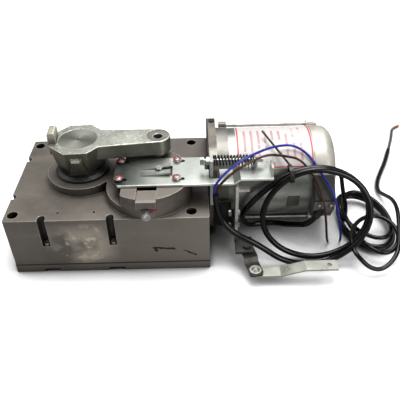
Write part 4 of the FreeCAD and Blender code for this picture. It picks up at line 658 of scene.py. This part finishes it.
# Upset heads of the plate's studs: places, and a profile of radius and height
UP = (0, 0, 1)
STUD_TOP = 101.1
STUDS = [(45.74, -46.0), (45.74, -14.0), (105.04, -46.0), (105.04, -14.0)]
STUD_HEAD = [
    (4.3, 0.0), (4.3, 0.12), (3.4, 0.2), (3.1, 0.42), (2.2, 0.72), (1.1, 0.86), (0.9, 0.5), (0.0, 0.45),
]
for number, (x, y) in enumerate(STUDS):
    add_piece("stud_head_%d" % number, *turned(STUD_HEAD, (x, y, STUD_TOP), UP), "steel")

# A collar of red lacquer on each stud, which sits a little off its middle, each to another side in degrees
LACQUER = [(3.9, 0.05), (4.1, 0.3), (3.5, 0.52), (2.7, 0.6)]
LACQUER_OFF = 0.5
LACQUER_LEAN, LACQUER_LEAN_STEP = 50, 75
for number, (x, y) in enumerate(STUDS):
    lean = math.radians(LACQUER_LEAN + LACQUER_LEAN_STEP * number)
    place = (x + LACQUER_OFF * math.cos(lean), y + LACQUER_OFF * math.sin(lean), STUD_TOP)
    add_piece("stud_lacquer_%d" % number, *turned(LACQUER, place, UP), "terminal_grey", "red_paint")

# Paint on the adjusting screw and on the tower beside it
FRONT = (0, -1, 0)
screw_dab = dab(centre=(74.2, -86.02, 82.6), normal=FRONT, reach=(2.4, 1.5), thick=0.4, seed=0.7)
add_piece("screw_paint", *screw_dab, "terminal_grey", "pale_paint")
tower_dab = dab(centre=(81.8, -76.5, 83.6), normal=(0.15, -0.99, 0), reach=(3.0, 3.6), thick=0.9, seed=2.1)
add_piece("tower_paint", *tower_dab, "terminal_grey", "red_paint")

# Screw heads in the terminal base
SCREW_HEAD = [(2.2, 0.0), (2.2, 0.5), (1.7, 0.95), (0.9, 1.1), (0.75, 0.5), (0.0, 0.5)]
SCREWS = [(256.0, -46.7, 57.5), (268.5, -46.7, 57.5)]
for number, place in enumerate(SCREWS):
    add_piece("terminal_screw_%d" % number, *turned(SCREW_HEAD, place, FRONT, 24), "steel")

# Ratchet head of the cable tie
tie_form = bar(start=(223.2, -27.8, 95.6), end=(224.6, -27.6, 95.9), wide=6.4, thick=5.4, up=(-27, 46, 17))
tie_head = add_piece("tie_head", *tie_form, "black_plastic")


# Leads, on the routes of the CAD model

LEAD_R, WIRE_R, SIGNAL_R, CORE_R = 3.2, 1.3, 2.4, 1.6
LEAD_ROUTE = [
    (253.75, -44.8, 41.3), (246.5, -48.5, 34), (236, -40, 26.5), (224, -28.5, 17.5), (210, -18.5, 12),
    (195, -18, 10), (182.5, -24, 14), (175.5, -29, 27), (175.5, -37, 43), (182, -44, 61), (197, -41.5, 77),
    (222.2, -31.2, 92.0), (262.0, -29.8, 99.2), (300.0, -36.5, 81.0), (313.0, -50.8, 48.4),
    (297.0, -64.7, 18.8), (256.9, -71.8, 4.2), (218.8, -66.6, 10.5), (194.8, -59.8, 35.6),
    (194.8, -50.2, 66.4), (219.7, -40.2, 93.4), (256.0, -37.8, 102.4), (295.5, -43.0, 88.0),
    (311.5, -57.3, 57.4), (299.5, -72.3, 27.7), (264.2, -81.3, 6.8), (234, -80, 4.4), (212, -78, 12),
    (196, -76, 25), (180, -73, 35), (164, -69, 42), (151, -64, 55), (144.5, -60.5, 73), (144.5, -60.5, 89),
]
BLUE_ROUTE = [
    (143, -60.5, 89), (143, -60.5, 97), (148, -59.5, 106), (158, -54, 114), (172, -46, 120),
    (188, -36, 121.5), (203, -18, 115), (216, -6, 109.5), (228, -4.5, 109), (240, -9, 105), (249, -16, 98),
    (256, -24.6, 89.6), (262, -34, 83), (268.5, -43.5, 75.5), (273, -51, 62), (278, -51.5, 43),
    (283, -50, 24), (285.5, -47.5, 8), (286, -44, 2),
]
BROWN_ROUTE = [
    (146, -60.5, 89), (146, -60.5, 95.5), (151, -59, 102), (163, -53, 110.5), (180, -47, 118),
    (197, -40.5, 121.5), (211, -31, 114), (222, -23, 106.5), (232, -19, 101.5), (240, -20.5, 96),
    (247, -27, 88), (253, -37, 81), (258, -47, 71), (261, -51.5, 58), (264, -52, 42), (267, -51, 25),
    (270, -48, 9), (273, -44.5, 2),
]
SIGNAL_EXIT = [
    (283.3, 3, 64), (289.5, 3, 64), (291.5, -1, 51.5), (294.5, -4.5, 38.5), (298.5, -7, 24), (300, -8, 9),
]
# Loose turns of the bunch: centre, reach in x and y, turn of the long axis, height, and sag of the front
TURNS = [
    (321, -14, 29, 45, 12, 3.0, 0), (322, -16, 29, 50, 8, 8.0, 0), (319, -8, 24, 41, 18, 13.0, 0),
    (323, -20, 27, 49, 4, 18.0, 0), (317, -74, 27, 30, 0, 23.0, 20), (323, -18, 29, 46, 0, 28.0, 0),
]
TURN_STEPS = 14
TURN_START = 165.0
BUNCH_POINTS = 62
# The last turn runs off the bunch's right side and down to the floor
RUN_OFF = [(351, -38, 25), (356, -14, 26), (358, 8, 21), (356.5, 27, 12)]
SIGNAL_TAIL = [(354, 45, 4), (359.5, 67, 2.8), (370.5, 89, 2.6), (384, 113.5, 2.6), (396, 141, 2.6)]
CORE_ROUTE = [(396, 141, 2.6), (404.4, 160.25, 2.6), (413, 181.5, 2), (419.5, 202, 2), (431, 206, 2)]


def bunch_points():
    """Points of the bunch's turns, whose size, centre and slant drift from one turn to the next."""
    points = []
    for step in range(BUNCH_POINTS):
        turn, share = divmod(step / TURN_STEPS, 1.0)
        now = [a + (b - a) * share for a, b in zip(TURNS[int(turn)], TURNS[int(turn) + 1])]
        x, y, reach_x, reach_y, slant, z, sag = now
        slant = math.radians(slant)
        angle = math.radians(TURN_START + 360.0 * (step + 1) / TURN_STEPS) - slant
        across, along = reach_x * math.cos(angle), reach_y * math.sin(angle)
        front = max(0.0, -math.sin(angle + slant)) ** 3
        points.append((x + across * math.cos(slant) - along * math.sin(slant),
                       y + across * math.sin(slant) + along * math.cos(slant), z - sag * front))
    return points


def spline_curve(name, route, radius, look):
    """A smooth tube with the route's points as its control points."""
    data = bpy.data.curves.new(name, "CURVE")
    data.dimensions = "3D"
    data.bevel_depth = radius * MM
    data.bevel_resolution = 5
    data.resolution_u = 8
    data.use_fill_caps = True
    line = data.splines.new("NURBS")
    line.points.add(len(route) - 1)
    for point, place in zip(line.points, route):
        point.co = (*[value * MM for value in place], 1.0)
    line.order_u = 3
    line.use_endpoint_u = True
    data.materials.append(look)
    piece = bpy.data.objects.new(name, data)
    scene.collection.objects.link(piece)
    return piece


def run_length(piece):
    """Length of a curve's own line, in metres."""
    data = piece.data.copy()
    data.bevel_depth = 0
    bare = bpy.data.objects.new("line", data)
    scene.collection.objects.link(bare)
    mesh = bpy.data.meshes.new_from_object(bare.evaluated_get(bpy.context.evaluated_depsgraph_get()))
    places = [vertex.co.copy() for vertex in mesh.vertices]
    bpy.data.objects.remove(bare)
    bpy.data.meshes.remove(mesh)
    bpy.data.curves.remove(data)
    return sum((b - a).length for a, b in zip(places, places[1:]))


def lay_cord(name, route, radius, slot, nodes):
    """A lead that stands in for the CAD model's stiff tubes."""
    piece = spline_curve(name, route, radius, LOOKS[slot])
    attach(piece, "housing")
    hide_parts(*nodes)
    run_length(piece)


lay_cord("motor_lead_cable", LEAD_ROUTE, LEAD_R, "cable_black", ["motor_lead"])
lay_cord("blue_wire_run", BLUE_ROUTE, WIRE_R, "blue_insulation", ["blue_wire"])
lay_cord("brown_wire_run", BROWN_ROUTE, WIRE_R, "brown_insulation", ["brown_wire"])
lay_cord("signal_cable", SIGNAL_EXIT + bunch_points() + RUN_OFF + SIGNAL_TAIL, SIGNAL_R, "cable_black",
         ["signal_lead", "signal_coil", "signal_tail"])
lay_cord("signal_core_strands", CORE_ROUTE, CORE_R, "core_strands", ["signal_core"])


# Camera, floor and light, in metres and degrees

CAMERA_PLACE = (0.12846, -0.47840, 0.41677)
CAMERA_DOWN, CAMERA_ROLL = 38.751, -1.384
CAMERA_LENS, CAMERA_SENSOR = 47.25, 36.0
FLOOR_REACH, FLOOR_Z = 6.0, -0.0002
SURROUND = 0.28
LIT_MIDDLE = (0.12, 0.0, 0.05)
# Soft lamps: name, place, size and power
LAMPS = [
    ("key", (0.22, 0.12, 1.0), (0.7, 0.5), 9.5),
    ("rear", (0.30, 0.55, 0.85), (0.6, 0.4), 2.8),
    ("fill", (0.75, -0.75, 0.5), (0.6, 0.6), 4.5),
    ("side", (-0.75, 0.1, 0.7), (0.5, 0.8), 3.0),
]


def aim_camera():
    """The photograph's view: above the front, a little rolled."""
    data = bpy.data.cameras.new("photo_view")
    data.lens, data.sensor_width = CAMERA_LENS, CAMERA_SENSOR
    data.clip_start, data.clip_end = 0.01, 30.0
    camera = bpy.data.objects.new("photo_view", data)
    scene.collection.objects.link(camera)
    down, roll = math.radians(CAMERA_DOWN), math.radians(CAMERA_ROLL)
    forward = Vector((0, math.cos(down), -math.sin(down)))
    right = Vector((1, 0, 0))
    up = right.cross(forward)
    side = right * math.cos(roll) + up * math.sin(roll)
    top = up * math.cos(roll) - right * math.sin(roll)
    turn = Matrix((side, top, -forward)).transposed().to_4x4()
    camera.matrix_world = Matrix.Translation(CAMERA_PLACE) @ turn
    scene.camera = camera


def lay_floor():
    """A white floor that keeps the shadow."""
    mesh = bpy.data.meshes.new("floor")
    reach = FLOOR_REACH
    corners = [(-reach, -reach, 0), (reach, -reach, 0), (reach, reach, 0), (-reach, reach, 0)]
    mesh.from_pydata(corners, [], [(0, 1, 2, 3)])
    mesh.materials.append(LOOKS["floor_white"])
    floor = bpy.data.objects.new("floor", mesh)
    floor.location.z = FLOOR_Z
    scene.collection.objects.link(floor)


def set_surround():
    """A surround that shows white behind the floor and lights the object softly."""
    world = bpy.data.worlds.new("studio")
    world.use_nodes = True
    tree = world.node_tree
    soft = tree.nodes["Background"]
    soft.inputs["Color"].default_value = (1, 1, 1, 1)
    soft.inputs["Strength"].default_value = SURROUND
    shown = tree.nodes.new("ShaderNodeBackground")
    shown.inputs["Strength"].default_value = 1.0
    mixed = tree.nodes.new("ShaderNodeMixShader")
    tree.links.new(tree.nodes.new("ShaderNodeLightPath").outputs["Is Camera Ray"], mixed.inputs[0])
    tree.links.new(soft.outputs[0], mixed.inputs[1])
    tree.links.new(shown.outputs[0], mixed.inputs[2])
    tree.links.new(mixed.outputs[0], tree.nodes["World Output"].inputs["Surface"])
    scene.world = world


def hang_lamp(name, place, size, power):
    """A soft rectangular lamp that looks at the object's middle."""
    data = bpy.data.lights.new(name, "AREA")
    data.shape = "RECTANGLE"
    data.size, data.size_y = size
    data.energy = power
    lamp = bpy.data.objects.new(name, data)
    lamp.location = place
    lamp.rotation_euler = (Vector(LIT_MIDDLE) - Vector(place)).to_track_quat("-Z", "Y").to_euler()
    scene.collection.objects.link(lamp)


aim_camera()
lay_floor()
set_surround()
for lamp in LAMPS:
    hang_lamp(*lamp)
